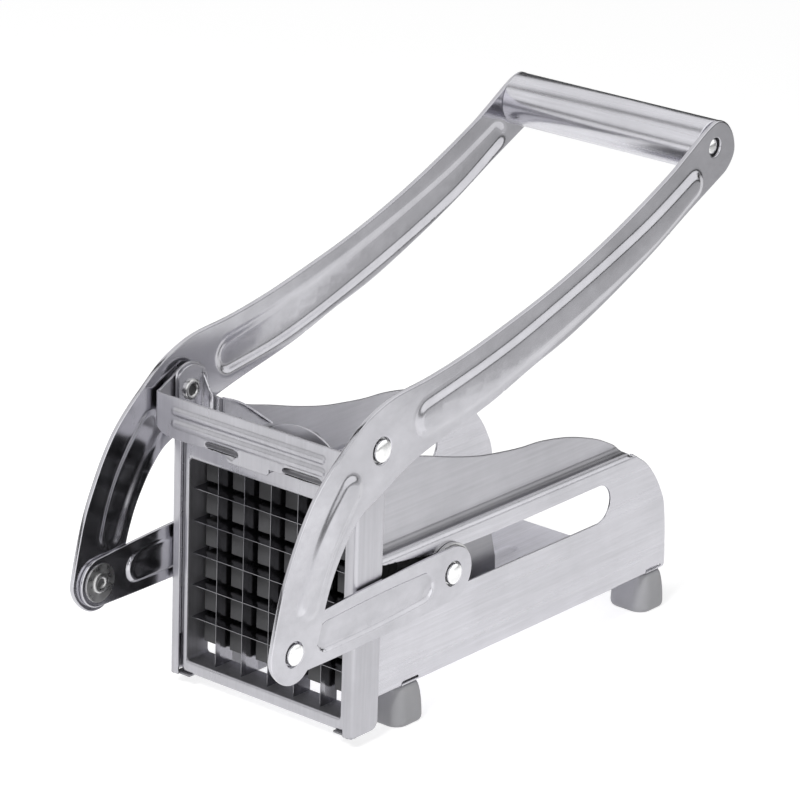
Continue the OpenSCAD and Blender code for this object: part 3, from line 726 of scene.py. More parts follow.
def plate(kind, side, inner, outer, holes, grooves, edge, gap, body):
    """One upright plate; gap is the step along its outline, and twice that is its grid's spacing."""
    node = side_name(kind, side)
    outline = fine_loop(face_loops(node, side * inner)[0], gap)
    openings = [round_hole((pivot.y, pivot.z), radius, 40) for pivot, radius in holes]
    mesh = sheet_mesh(node, outline, openings, side_place(outer, side), outer - inner, spacing=2 * gap,
                      rows=grooves.rows(), edge=edge, grooves=grooves)
    piece(node + "_shown", mesh, [ARM_STEEL], body, "arm_steel", [node])


for side in SIDES:
    plate("lever_arm", side, ARM_IN, ARM_OUT, ARM_HOLES, ARM_GROOVES, ARM_EDGE, 1.3 * MM, "lever")
for side in SIDES:
    plate("link", side, LINK_IN, LINK_OUT, LINK_HOLES, LINK_GROOVES, LINK_EDGE, 1.2 * MM, "links")


# Body: one bent sheet from panel top to panel top

BODY_IN_Y = FRAME_HIGH.y + 0.4 * MM
PANEL_OUT = 34 * MM
PANEL_TOP = 97.7 * MM
PANEL_FRONT_Y = -57.2 * MM
SHOULDER_Z = 62 * MM
STEP_BEND = 2.2 * MM
STEP_HOLLOW = 2.1 * MM
STEP_RIM = 1.6 * MM
SHELF_SHARE = 0.6
WALL_STRIP_LOW = 17 * MM
REAR_CORNER_Z = 19 * MM
REAR_CURVE_LOW = 22 * MM
FLOOR_UNDER = 13.3 * MM
FLOOR_BEND = 2 * MM
BEND_GAP = 1.6 * MM
FLOOR_GROOVE_X = 10 * MM
FLOOR_GROOVE_HALF = 2.4 * MM
FLOOR_GROOVE_RISE = 0.8 * MM
FLOOR_GROOVE_RAMP = 1.6 * MM
GROOVE_FRONT_GAP = 7 * MM
GROOVE_REAR_GAP = 25 * MM
FOOT_SLIT_HALF = 4.4 * MM
FOOT_SLIT_R = 0.95 * MM

half_body = BentPath((0, FLOOR_UNDER), 0)
half_body.run(WALL_OUT - FLOOR_BEND).turn(90, FLOOR_BEND)
WALL_START = half_body.length
half_body.run(SHOULDER_Z - FLOOR_UNDER - FLOOR_BEND - STEP_BEND).turn(90, STEP_BEND)
half_body.run(WALL_OUT - PANEL_OUT - STEP_BEND - STEP_HOLLOW).turn(-90, STEP_HOLLOW)
PANEL_START = half_body.length
half_body.run(PANEL_TOP - SHOULDER_Z - STEP_HOLLOW)


def wall_s(z):
    return WALL_START + z - FLOOR_UNDER - FLOOR_BEND


def panel_s(z):
    return PANEL_START + z - SHOULDER_Z - STEP_HOLLOW


def body_place(u, v, h):
    """u is Y, v runs along the section from the middle of the floor."""
    (x, z), (out_x, out_z) = half_body.at(abs(v))
    side = -1 if v < 0 else 1
    return side * (x + h * out_x), u, z + h * out_z


def body_outline(wall, panel):
    """The right half, from the wall's front over the panel's top to the floor's rear, and its mirror."""
    front_y, rear_y = FRAME_LOW.y, BODY_HIGH.y
    wall_top = wall_s(SHOULDER_Z - STEP_BEND)
    top = [p for p in panel.tolist() if p[0] > PANEL_FRONT_Y + MM and p[1] > SHOULDER_Z + STEP_HOLLOW]
    top.sort(key=lambda p: p[0])
    top_end = top[-1][0]
    back = [p for p in wall.tolist() if p[0] > top_end + MM and p[1] > REAR_CURVE_LOW]
    back.sort(key=lambda p: -p[1])
    back_start = back[0][0]
    half = [(BODY_IN_Y, wall_s(WALL_STRIP_LOW)), (front_y, wall_s(WALL_STRIP_LOW)), (front_y, wall_top),
            (BODY_IN_Y, wall_top), (BODY_IN_Y, PANEL_START), (PANEL_FRONT_Y, PANEL_START),
            (PANEL_FRONT_Y, panel_s(PANEL_TOP - NEAR))]
    half += [(y, panel_s(z)) for y, z in top]
    half += [(top_end + SHELF_SHARE * (back_start - top_end), PANEL_START - STEP_HOLLOW),
             (back_start - 0.6 * MM, wall_top + MM)]
    half += [(y, wall_s(z)) for y, z in back]
    half += [(rear_y, wall_s(REAR_CORNER_Z)), (rear_y, WALL_START), (rear_y, 0)]
    mirror = [(u, -v) for u, v in reversed(half[:-1])]
    return fine_loop(anticlockwise(np.array(half + mirror)), gap=1.6 * MM)


def foot_slit(foot, side):
    """Cut along the lower bend, above a foot."""
    y = middle(foot).y
    loop = round_ended(y - FOOT_SLIT_HALF, y + FOOT_SLIT_HALF, WALL_START - 0.5 * MM, FOOT_SLIT_R, 8)
    return fine_loop(loop * (1, side), gap=0.8 * MM)


def floor_groove(side):
    ends = (BODY_IN_Y + GROOVE_FRONT_GAP, 0, BODY_HIGH.y - GROOVE_REAR_GAP)
    return along([(y, side * FLOOR_GROOVE_X, FLOOR_GROOVE_HALF) for y in ends], 30)


def body_look(x, _, z):
    """Painted shade on the step and the panel, painted light on the floor, plain steel on the wall."""
    if PANEL_OUT < abs(x) < WALL_OUT - STEP_RIM and abs(z - SHOULDER_Z) < STEP_BEND:
        return STEP_SHADED_STEEL
    if z > SHOULDER_Z + 0.5 * MM:
        return PANEL_SHADED_STEEL
    if z < FLOOR_UNDER + 1.2 * MM and abs(x) < WALL_OUT - FLOOR_BEND:
        return FLOOR_LIT_STEEL
    return BODY_STEEL


def body_shell():
    wall, slot = face_loops("body_shell", WALL_OUT)[:2]
    outline = body_outline(wall, face_loops("body_shell", PANEL_OUT)[0])
    slot = np.array([(y, wall_s(z)) for y, z in slot])
    holes = [fine_loop(loop, gap=1.2 * MM) for loop in (slot, slot * (1, -1))]
    holes += [foot_slit(foot, side) for foot in ("foot_front_right", "foot_rear_right") for side in SIDES]
    grooves = Grooves([floor_groove(side) for side in SIDES], FLOOR_GROOVE_RAMP, FLOOR_GROOVE_RISE)
    bends = half_body.rows(FRAME_LOW.y, BODY_HIGH.y, BEND_GAP)
    rows = [row[:, ::-1] * (1, side) for row in bends for side in SIDES] + grooves.rows(1.2 * MM)
    mesh = sheet_mesh("body_shell", outline, holes, body_place, SHEET, spacing=4 * MM, rows=rows,
                      grooves=grooves)
    looks = [BODY_STEEL, PANEL_SHADED_STEEL, FLOOR_LIT_STEEL, STEP_SHADED_STEEL]
    piece("body_shell_shown", painted(mesh, looks, body_look), looks, "base", "body_steel", ["body_shell"])


body_shell()


# Front strips: the panel's front edge folded across to the wall line, then forward to the ear

FRONT_BEND = 1.2 * MM
FRONT_EDGE = 0.2 * MM
EAR_BEND = MM
EAR_HEEL = 5.7 * MM


def body_front(side):
    across_y = BODY_IN_Y + SHEET
    path = BentPath((WALL_OUT, FRAME_LOW.y), 90)
    path.run(across_y - FRONT_BEND - FRAME_LOW.y).turn(90, FRONT_BEND)
    path.run(WALL_OUT - FRONT_BEND - PANEL_OUT - EAR_BEND).turn(-90, EAR_BEND)
    path.run(PANEL_FRONT_Y - across_y - EAR_BEND)
    hub = (MAIN.y - FRAME_LOW.y, MAIN.z)
    low = SHOULDER_Z - STEP_BEND
    loop = [(0, low), (path.length, low), (path.length, PANEL_TOP - NEAR),
            (path.length - 2 * MM, PANEL_TOP + MM)]
    loop += arc_points(hub, EAR_R, 46, 134, 16) + [(0, MAIN.z + EAR_HEEL)]
    mesh = sheet_mesh("body_front", fine_loop(np.array(loop), EAR_GAP), [round_hole(hub, PIN_HOLE_R, 24)],
                      upright_fold(path, side), SHEET, spacing=3 * MM, edge=FRONT_EDGE,
                      rows=path.rows(low, MAIN.z + EAR_R, EAR_GAP))
    piece(side_name("body_front", side), mesh, [BODY_STEEL], "base", "body_steel")


for side in SIDES:
    body_front(side)


# Guide channels, with a tab across the bottom

LIP_IN_X = 35.5 * MM
LIP_TOP = 97 * MM
LIP_CUT = 0.6 * MM
GUIDE_BEND = 1.6 * MM
GUIDE_REAR = -59.66 * MM
GUIDE_CORNER = 3 * MM
TAB_LONG = 9.5 * MM
TAB_SIDE_GAP = 2 * MM


def guide_channel(side):
    node = side_name("guide_channel", side)
    low, high = GUIDE_LOW, GUIDE_HIGH
    path = BentPath((LIP_IN_X, low.y), 0)
    path.run(high.x - LIP_IN_X - GUIDE_BEND).turn(90, GUIDE_BEND).run(high.y - low.y - GUIDE_BEND)
    hub = (path.length - (high.y - MAIN.y), MAIN.z)
    radius = high.z - MAIN.z
    rear_s = path.length - (high.y - GUIDE_REAR)
    start = -math.degrees(math.acos((rear_s - hub[0]) / radius))
    loop = [(0, low.z)]
    loop += arc_points((rear_s - GUIDE_CORNER, low.z + GUIDE_CORNER), GUIDE_CORNER, -90, 0, 8)
    loop += arc_points(hub, radius, start, 138, 24)
    neck = loop[-1][0]
    loop += [(neck, LIP_TOP + MM), (neck - LIP_CUT, LIP_TOP), (LIP_CUT, LIP_TOP), (0, LIP_TOP - LIP_CUT)]
    mesh = sheet_mesh(node, fine_loop(np.array(loop), EAR_GAP), [round_hole(hub, PIN_HOLE_R, 24)],
                      upright_fold(path, side), SHEET, spacing=3 * MM, rows=path.rows(low.z, high.z, EAR_GAP))
    piece(node + "_shown", mesh, [FRAME_STEEL], "base", "body_steel", [node])
    tab = rounded_slab((low.x, low.y + SHEET, low.z),
                       (high.x - TAB_SIDE_GAP, low.y + TAB_LONG, low.z + SHEET))
    if side < 0:
        tab.transform(Matrix.Scale(-1, 4, (1, 0, 0)))
        tab.flip_normals()
    # The tab is painted darker, as shade under the frame.
    piece(node + "_tab", tab, [SLEEVE_SHADED_STEEL], "base", "body_steel")


for side in SIDES:
    guide_channel(side)


# Blade frame: rings of one rounded rectangle, from the sleeve's back round the front to the rim

OPENING_HALF = 33.2 * MM
OPENING_LOW = 9.3 * MM
OPENING_TOP = 80 * MM
FACE_HALF = 34.9 * MM
FACE_Y = FRAME_LOW.y + 0.5 * MM
WING_Y = FACE_Y + 2.2 * MM
FRAME_CORNER = 1.2 * MM
FRAME_ROUND = 0.9 * MM
ROUND_SHARE = 0.24
SLEEVE_SHARES = (0, 0.2, 0.4, 0.6, 0.8)
FACE_SHARES = (0.3, 0.68)
# Depth of the frame's top under the flap that is painted as shade.
UNDER_FLAP = 0.75 * MM
QUARTER = [math.radians(15 * k) for k in range(7)]


def rounded_ring(half_x, low_z, high_z, corner, y, steps=6):
    made = []
    for x, z, start in ((half_x - corner, low_z + corner, -90), (half_x - corner, high_z - corner, 0),
                        (-half_x + corner, high_z - corner, 90), (-half_x + corner, low_z + corner, 180)):
        made += [(p[0], y, p[1]) for p in arc_points((x, z), corner, start, start + 90, steps)]
    return made


def lofted(name, rings, closed=True):
    """Skin through rings of equal count; closed joins the last ring to the first."""
    count = len(rings[0])
    faces = []
    for i in range(len(rings) if closed else len(rings) - 1):
        a, b = i * count, (i + 1) % len(rings) * count
        faces += [(a + k, a + (k + 1) % count, b + (k + 1) % count, b + k) for k in range(count)]
    return mesh_from(name, [p for ring in rings for p in ring], faces)


def frame_ring(grow, y, half=None):
    """grow: share of the way from the opening to the outer edge on the face."""
    half = half or OPENING_HALF + grow * (FACE_HALF - OPENING_HALF)
    low = OPENING_LOW + grow * (FRAME_LOW.z - OPENING_LOW)
    high = OPENING_TOP + grow * (FRAME_HIGH.z - OPENING_TOP)
    return rounded_ring(half, low, high, FRAME_CORNER, y)


def frame_look(x, _, z):
    """The sleeve and the top under the flap are painted darker than the face, as shade, and are rougher."""
    in_sleeve = abs(x) < OPENING_HALF + NEAR and OPENING_LOW - NEAR < z < OPENING_TOP + NEAR
    return SLEEVE_SHADED_STEEL if in_sleeve or z > FRAME_HIGH.z - UNDER_FLAP else FRAME_STEEL


def blade_frame():
    back = FRAME_HIGH.y
    rings = [frame_ring(0, back + share * (FACE_Y - back)) for share in SLEEVE_SHARES]
    rings += [frame_ring(ROUND_SHARE * (1 - math.cos(t)), FACE_Y + FRAME_ROUND * (1 - math.sin(t)))
              for t in QUARTER]
    rings += [frame_ring(share, FACE_Y) for share in FACE_SHARES]
    rings += [frame_ring(1 - ROUND_SHARE * (1 - math.sin(t)), FACE_Y + FRAME_ROUND * (1 - math.cos(t)))
              for t in QUARTER]
    rings += [frame_ring(1, WING_Y), frame_ring(1, WING_Y, FRAME_HIGH.x), frame_ring(1, back, FRAME_HIGH.x)]
    mesh = smoothed(facing_out(lofted("blade_frame", rings)), sharp_from=50)
    looks = [FRAME_STEEL, SLEEVE_SHADED_STEEL]
    piece("blade_frame_shown", painted(mesh, looks, frame_look), looks, "base", "body_steel", ["blade_frame"])


blade_frame()


# Blades: strips with a ground front edge

BLADE_T = 0.5 * MM
EDGE_T = 0.14 * MM
GRIND = 2 * MM


def strip(start, end, thick_axis, across):
    """Points and faces of one strip between two places of its long axis."""
    front, back = BLADE_LOW.y, BLADE_HIGH.y
    half = [(EDGE_T / 2, front), (BLADE_T / 2, front + GRIND), (BLADE_T / 2, back)]
    section = [(-off, y) for off, y in reversed(half)] + half
    made = []
    for long in (start, end):
        for off, y in section:
            made.append((across + off, y, long) if thick_axis == 0 else (long, y, across + off))
    n = len(section)
    faces = [(k, (k + 1) % n, n + (k + 1) % n, n + k) for k in range(n)]
    return made, faces + [tuple(range(n - 1, -1, -1)), tuple(range(n, 2 * n))]


def loose_parts(made):
    """The points of each separate solid."""
    parts, seen = [], set()
    for start in made.verts:
        if start in seen:
            continue
        group, stack = {start}, [start]
        while stack:
            near = {v for edge in stack.pop().link_edges for v in edge.verts} - group
            group |= near
            stack += near
        seen |= group
        parts.append([v.co.copy() for v in group])
    return parts


def blades(node, thick_axis, long_axis):
    made = merged(node)
    points, faces = [], []
    for part in loose_parts(made):
        across = [v[thick_axis] for v in part]
        long = [v[long_axis] for v in part]
        p, f = strip(min(long), max(long), thick_axis, (min(across) + max(across)) / 2)
        faces += [tuple(i + len(points) for i in face) for face in f]
        points += p
    made.free()
    mesh = facing_out(mesh_from(node, points, faces, smooth=False))
    piece(node + "_shown", mesh, [BLADE_STEEL], "base", "blade_steel", [node])


blades("vertical_blades", 0, 2)
blades("horizontal_blades", 2, 0)


# Turned pieces: each profile has points of (distance from the middle plane, radius)

DOME_ROUND = 0.86
DOME_STEPS = 8
HEAD_GAP = 0.7 * MM
HEAD_RISE = 0.55 * MM
HEAD_RIM = 0.15 * MM
SHADE_DISC_T = 0.3 * MM
AXLE_R = 4 * MM
AXLE_ROUND = 0.3 * MM
TUBE_WALL = MM
TUBE_ROUND = 0.35 * MM
TUBE_HOLLOW = 0.02 * MM


def turned(name, profile, centre, side, material, body, slot, node, count=56, sharp_from=42):
    """Spun round an axis along X through centre."""
    points, faces = [], []
    for x, r in profile:
        for k in range(count):
            a = 2 * math.pi * k / count
            points.append((side * x, centre.y + r * math.cos(a), centre.z + r * math.sin(a)))
    last = len(profile) - 1
    for i in range(last):
        for k in range(count):
            a, b = i * count + k, i * count + (k + 1) % count
            faces.append((a, b, b + count, a + count))
    for end in (0, last):
        if profile[0] != profile[last] and profile[end][1] > 0:
            faces.append(tuple(end * count + k for k in range(count)))
    mesh = mesh_from(name, points, faces)
    made = opened(mesh)
    bmesh.ops.remove_doubles(made, verts=made.verts, dist=0.0005 * MM)
    bmesh.ops.recalc_face_normals(made, faces=made.faces)
    piece(name, smoothed(written(made, mesh), sharp_from), [material], body, slot, [node])


def dome_profile(base, top, radius, foot):
    """Polished button: a low dome on a short upright edge that starts at foot."""
    made = [(top, 0)]
    for k in range(1, DOME_STEPS + 1):
        t = k / DOME_STEPS
        fall = (1 - math.sqrt(1 - DOME_ROUND * t * t)) / (1 - math.sqrt(1 - DOME_ROUND))
        made.append((top - (top - base) * fall, radius * t * 0.985))
    return made + [(base - HEAD_RIM, radius), (foot, radius), (foot, 0)]


def eyelet_profile(face, rise, hole, radius, deep):
    """Rolled tail on a face: down the hole's wall, round the roll and back to the face."""
    made = [(face + deep, hole * 0.9), (face - rise * 0.5, hole)]
    middle_r, half = (hole + radius) / 2, (radius - hole) / 2
    for k in range(9):
        turn = math.radians(180 * k / 8)
        made.append((face - rise * 0.5 - rise * 0.5 * math.sin(turn), middle_r - half * math.cos(turn)))
    return made + [(face, radius), (face + deep, radius)]


def shade_disc_profile(face, radius):
    """Dark disc inside a hollow tail: painted shade in the hole."""
    return [(face, 0), (face, radius), (face + SHADE_DISC_T, radius), (face + SHADE_DISC_T, 0)]


def rivets():
    wall_in = WALL_OUT - SHEET
    arm_base = ARM_OUT + HEAD_RISE
    main_head = dome_profile(arm_base, HEAD_TOP, MAIN_HEAD_R - HEAD_GAP, ARM_IN)
    lower_head = dome_profile(arm_base, HEAD_TOP, LOWER_HEAD_R - HEAD_GAP, ARM_IN)
    axle_head = dome_profile(LINK_OUT + HEAD_RISE, AXLE_TOP, LOWER_HEAD_R - HEAD_GAP, LINK_IN)
    grip_head = dome_profile(ARM_OUT - 1.1 * MM, ARM_OUT - 0.6 * MM, GRIP_HEAD_R - HEAD_GAP, ARM_IN - 8 * MM)
    main_tail = eyelet_profile(wall_in, rise=1.1 * MM, hole=1.9 * MM, radius=3.5 * MM, deep=3 * MM)
    lower_tail = eyelet_profile(LINK_IN - 0.35 * MM, rise=0.5 * MM, hole=1.6 * MM, radius=3.4 * MM,
                                deep=1.5 * MM)
    main_shade_disc = shade_disc_profile(wall_in + 0.3 * MM, 1.8 * MM)
    lower_shade_disc = shade_disc_profile(LINK_IN + 0.2 * MM, 1.5 * MM)
    kinds = (("main_pivot_head", main_head, MAIN, RIVET_STEEL, "base", "main_pivot_rivets"),
             ("main_pivot_tail", main_tail, MAIN, TAIL_STEEL, "base", "main_pivot_rivets"),
             ("main_pivot_shade_disc", main_shade_disc, MAIN, PUSHER_PLASTIC, "base", "main_pivot_rivets"),
             ("lower_pin_head", lower_head, LOWER, RIVET_STEEL, "lever", "lower_pin_heads"),
             ("handle_rivet", grip_head, GRIP, RIVET_STEEL, "lever", "handle_rivets"),
             ("axle_head", axle_head, AXLE, RIVET_STEEL, "carriage", "cross_axle"),
             ("lower_pin_tail", lower_tail, LOWER, TAIL_STEEL, "links", "lower_pin_tails"),
             ("lower_pin_shade_disc", lower_shade_disc, LOWER, PUSHER_PLASTIC, "links", "lower_pin_tails"))
    for side in SIDES:
        for name, profile, centre, material, body, node in kinds:
            turned(side_name(name, side), profile, centre, side, material, body, "rivet_steel", node)


def axle_shaft():
    end = LINK_IN - 0.05 * MM
    half = [(end - AXLE_ROUND, AXLE_R), (end, AXLE_R - AXLE_ROUND), (end, 0)]
    profile = [(-x, r) for x, r in reversed(half)] + half
    turned("axle_shaft", profile, AXLE, 1, RIVET_STEEL, "carriage", "rivet_steel", "cross_axle")


def handle_tube():
    radius = (TUBE_HIGH.z - TUBE_LOW.z) / 2
    half = TUBE_HIGH.x
    soft = TUBE_ROUND * 0.3
    rim = [(half - TUBE_HOLLOW, radius - TUBE_WALL), (half, radius - TUBE_ROUND),
           (half - soft, radius - soft), (half - TUBE_ROUND, radius)]
    profile = [(-x, r) for x, r in rim] + rim[::-1]
    turned("handle_tube_shown", profile + profile[:1], GRIP, 1, TUBE_STEEL, "lever", "handle_steel",
           "handle_tube", count=96, sharp_from=60)


rivets()
axle_shaft()
handle_tube()


# Feet: shares of the height up to the floor, and of the full width there

FOOT_LEVEL_SHARES = ((0, 0.9), (0.02, 0.95), (0.06, 0.985), (0.12, 1), (0.28, 0.99), (0.42, 0.975),
                     (0.56, 0.95), (0.7, 0.92), (0.82, 0.88), (0.92, 0.83), (1, 0.76))
FOOT_CORNER_SHARE = 0.62


def foot(node):
    """Domed rubber foot: rings of a rounded rectangle that shrink towards its neck."""
    low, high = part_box(node)
    centre, half = (low + high) / 2, (high - low) / 2
    rings = []
    for height, share in FOOT_LEVEL_SHARES:
        half_x, half_y = half.x * share, half.y * share
        corner = min(half_x, half_y) * FOOT_CORNER_SHARE
        ring = rounded_ring(half_x, -half_y, half_y, corner, 0, 8)
        rings.append([(centre.x + x, centre.y + y, height * FLOOR_UNDER) for x, _, y in ring])
    mesh = smoothed(capped(lofted(node, rings, closed=False)), sharp_from=70)
    piece(node + "_shown", mesh, [FOOT_RUBBER], "base", "foot_rubber", [node])


for place in ("foot_front", "foot_rear"):
    for side in SIDES:
        foot(side_name(place, side))


# Lock flap: one plate between two cheeks, with pressed ribs, slits, a tongue and a catch behind it

FLAP_RIB_RISE = 0.7 * MM
FLAP_FRONT = FLAP_LOW.y + FLAP_RIB_RISE
FLAP_RIBS_Z = (95 * MM, 99.2 * MM)
FLAP_RIB_END = 31 * MM
FLAP_RIB_HALF = 1.1 * MM
FLAP_RAMP = 1.2 * MM
FLAP_BEND = 1.8 * MM
FLAP_PLATE_LOW = 90 * MM
FLAP_PLATE_TOP = 104 * MM
FLAP_SLITS = ((-18 * MM, -4 * MM), (14.5 * MM, 31 * MM))
FLAP_SLIT_R = MM
FLAP_SLIT_Z = FLAP_PLATE_LOW + 1.45 * MM
TONGUE_HALF = 9 * MM
TONGUE_LOW = FLAP_PLATE_LOW - 2.2 * MM
CATCH_HALF = TONGUE_HALF - 1.4 * MM


def flap_outline(path):
    """The left half, from the tongue round the cheek to the top's middle, and its mirror."""
    mid = path.length / 2
    bend = path.bends[0][0]
    low, top = FLAP_PLATE_LOW, FLAP_PLATE_TOP
    left = [(mid - TONGUE_HALF + MM, TONGUE_LOW), (mid - TONGUE_HALF, TONGUE_LOW + MM),
            (mid - TONGUE_HALF, low), (bend + FLAP_BEND + 4.5 * MM, low),
            (bend + FLAP_BEND, low + 2.6 * MM), (bend - MM, low + 5.5 * MM)]
    left += arc_points((EAR_R, MAIN.z), EAR_R, -60, -270, 20)
    left += [(bend - 3 * MM, top + 1.5 * MM), (bend, top), (mid, top)]
    right = [(path.length - s, z) for s, z in reversed(left[:-1])]
    return fine_loop(anticlockwise(np.array(left + right)), gap=1.3 * MM)


def flap_look(x, _, z):
    """The slits' rims are dark, as they lie in deep shade."""
    in_slit = any(start + FLAP_SLIT_R < x < end - FLAP_SLIT_R for start, end in FLAP_SLITS)
    return SHADE_STEEL if in_slit and abs(z - FLAP_SLIT_Z) < FLAP_SLIT_R + NEAR else FRAME_STEEL


def lock_flap():
    cheek_end = MAIN.y + EAR_R
    half_x = FLAP_HIGH.x
    path = BentPath((-half_x, cheek_end), -90)
    path.run(cheek_end - FLAP_FRONT - FLAP_BEND).turn(90, FLAP_BEND).run(2 * half_x - 2 * FLAP_BEND)
    path.turn(90, FLAP_BEND).run(cheek_end - FLAP_FRONT - FLAP_BEND)
    mid = path.length / 2
    holes = [round_hole((s, MAIN.z), PIN_HOLE_R, 24) for s in (EAR_R, path.length - EAR_R)]
    holes += [round_ended(mid + start, mid + end, FLAP_SLIT_Z, FLAP_SLIT_R, 6) for start, end in FLAP_SLITS]
    lines = [along([(mid + s, z, FLAP_RIB_HALF) for s in (-FLAP_RIB_END, 0, FLAP_RIB_END)], 20)
             for z in FLAP_RIBS_Z]
    ribs = Grooves(lines, FLAP_RAMP, FLAP_RIB_RISE)
    mesh = sheet_mesh("lock_flap", flap_outline(path), holes, upright_fold(path, 1), SHEET, grooves=ribs,
                      spacing=2.4 * MM, rows=path.rows(FLAP_PLATE_LOW, FLAP_HIGH.z, 1.3 * MM) + ribs.rows())
    looks = [FRAME_STEEL, SHADE_STEEL]
    piece("lock_flap_shown", painted(mesh, looks, flap_look), looks, "flap", "body_steel", ["lock_flap"])


def lock_flap_catch():
    frame_middle = (FRAME_LOW.y + FRAME_HIGH.y) / 2
    mesh = rounded_slab((-CATCH_HALF, FLAP_FRONT + SHEET * 0.7, TONGUE_LOW + NEAR),
                        (CATCH_HALF, frame_middle, TONGUE_LOW + SHEET))
    piece("lock_flap_catch", mesh, [FRAME_STEEL], "flap", "body_steel")


lock_flap()
lock_flap_catch()


# Header's gussets: the sheet is turned in along their sloping edges

TURN_IN = 2.2 * MM
TURN_T = 0.6 * MM


def gusset_edge(side):
    outer, inner = side * HEADER_HIGH.x, side * (HEADER_HIGH.x - TURN_IN)
    loop = face_loops("header_bracket", outer)[0].tolist()
    edge = sorted((p for p in loop if p[1] > HEADER_LOW.z + MM), key=lambda p: p[0])
    line = along(edge + [[HEADER_HIGH.y, HEADER_LOW.z + 0.4 * MM]], 4)
    rings = []
    for point, normal in zip(line, line_normals(line)[1]):
        over = point + normal * TURN_T * 0.5
        under = point - normal * TURN_T * 0.5
        rings.append([(outer, *under), (outer, *over), (inner, *over), (inner, *under)])
    mesh = smoothed(capped(lofted("gusset_edge", rings, closed=False)), sharp_from=50)
    # The turned-in edge takes the tube's paler steel instead of the header's: a painted highlight along the
    # edge.
    piece(side_name("gusset_edge", side), mesh, [TUBE_STEEL], "base", "body_steel")


for side in SIDES:
    gusset_edge(side)


# The rest keeps its own form with rounded edges

PLAIN = (("header_bracket", 0.2 * MM, HEADER_STEEL, "base", "body_steel"),
         ("pivot_spacers", 0.2 * MM, DULL_STEEL, "base", "rivet_steel"),
         ("handle_plugs", 0.3 * MM, PUSHER_PLASTIC, "lever", "bushing_plastic"),
         ("lower_washers", 0.1 * MM, DULL_STEEL, "links", "rivet_steel"),
         ("slot_bushings", 0.3 * MM, BUSHING_PLASTIC, "carriage", "bushing_plastic"),
         ("axle_washers", 0.1 * MM, DULL_STEEL, "carriage", "rivet_steel"),
         ("pusher_carriage", 0.3 * MM, INNER_SHADED_STEEL, "carriage", "body_steel"),
         ("pusher_block", 0.5 * MM, PUSHER_PLASTIC, "carriage", "pusher_plastic"),
         ("pusher_screws", 0.2 * MM, RIVET_STEEL, "carriage", "rivet_steel"))
for node, width, material, body, slot in PLAIN:
    softened(node, width, material, body, slot)


# World, floor and lamp

KEY_PLACE = Vector((0.1, -0.85, 0.95))
KEY_AIM = Vector((0, 0, 0.06))
KEY_SIZE = 0.4
KEY_POWER = 11
FLOOR_HALF = 6


def level_for_view(tree, seen, unseen):
    """A strength for camera, mirror and glass rays, and another for the light on surfaces."""
    path = tree.nodes.new("ShaderNodeLightPath")
    total = path.outputs["Is Camera Ray"]
    for kind in ("Is Glossy Ray", "Is Transmission Ray"):
        both = tree.nodes.new("ShaderNodeMath")
        both.operation = "ADD"
        both.use_clamp = True
        tree.links.new(total, both.inputs[0])
        tree.links.new(path.outputs[kind], both.inputs[1])
        total = both.outputs[0]
    made = tree.nodes.new("ShaderNodeMapRange")
    return fed(tree, made, {"Value": total, "To Min": unseen, "To Max": seen}).outputs["Result"]


def studio_world():
    world = bpy.data.worlds.new("studio")
    bpy.context.scene.world = world
    world.use_nodes = True
    tree = world.node_tree
    fed(tree, tree.nodes["Background"], {"Color": (1, 1, 1, 1), "Strength": level_for_view(tree, 1, 0.4)})


def staged(name, mesh, material):
    """A piece of the studio, which isn't part of the object."""
    made = bpy.data.objects.new(name, mesh)
    bpy.context.scene.collection.objects.link(made)
    mesh.materials.append(material)
    return made


def studio_floor():
    corners = [(x * FLOOR_HALF, y * FLOOR_HALF, 0) for x, y in ((-1, -1), (1, -1), (1, 1), (-1, 1))]
    material, tree = new_material("floor_look")
    tree.nodes.remove(tree.nodes["Principled BSDF"])
    matt = added(tree, "ShaderNodeBsdfDiffuse", Color=(0.5, 0.5, 0.5, 1))
    lift = added(tree, "ShaderNodeEmission", Strength=level_for_view(tree, 0.72, 0.3))
    both = tree.nodes.new("ShaderNodeAddShader")
    tree.links.new(matt.outputs[0], both.inputs[0])
    tree.links.new(lift.outputs[0], both.inputs[1])
    tree.links.new(both.outputs[0], tree.nodes["Material Output"].inputs["Surface"])
    staged("floor", mesh_from("floor", corners, [(0, 1, 2, 3)]), material)


def studio_lamp():
    """Soft box that lights surfaces but isn't mirrored in them."""
    data = bpy.data.lights.new("key", "AREA")
    data.shape = "RECTANGLE"
    data.size = data.size_y = KEY_SIZE
    data.energy = KEY_POWER
    made = bpy.data.objects.new("key", data)
    made.location = KEY_PLACE
    made.rotation_mode = "QUATERNION"
    made.rotation_quaternion = (KEY_AIM - KEY_PLACE).to_track_quat("-Z", "Y")
    made.visible_glossy = False
    bpy.context.scene.collection.objects.link(made)


# Cards beside the set that only show in the metal, as studios use to draw lines in it

WALL_R = 1.8
CARD_STEPS = 24
CARD_Z = 0.001
STRIP_X = (-2, 1.2)
STRIP_Y = (-0.22, -0.05)
STRIP_Z = 0.8


def grey_card(name, mesh, level):
    material, tree = new_material(name + "_look")
    tree.nodes.remove(tree.nodes["Principled BSDF"])
    glow = added(tree, "ShaderNodeEmission", Color=(level, level, level, 1))
    tree.links.new(glow.outputs[0], tree.nodes["Material Output"].inputs["Surface"])
    made = staged(name, mesh, material)
    made.visible_camera = made.visible_diffuse = made.visible_shadow = made.visible_transmission = False


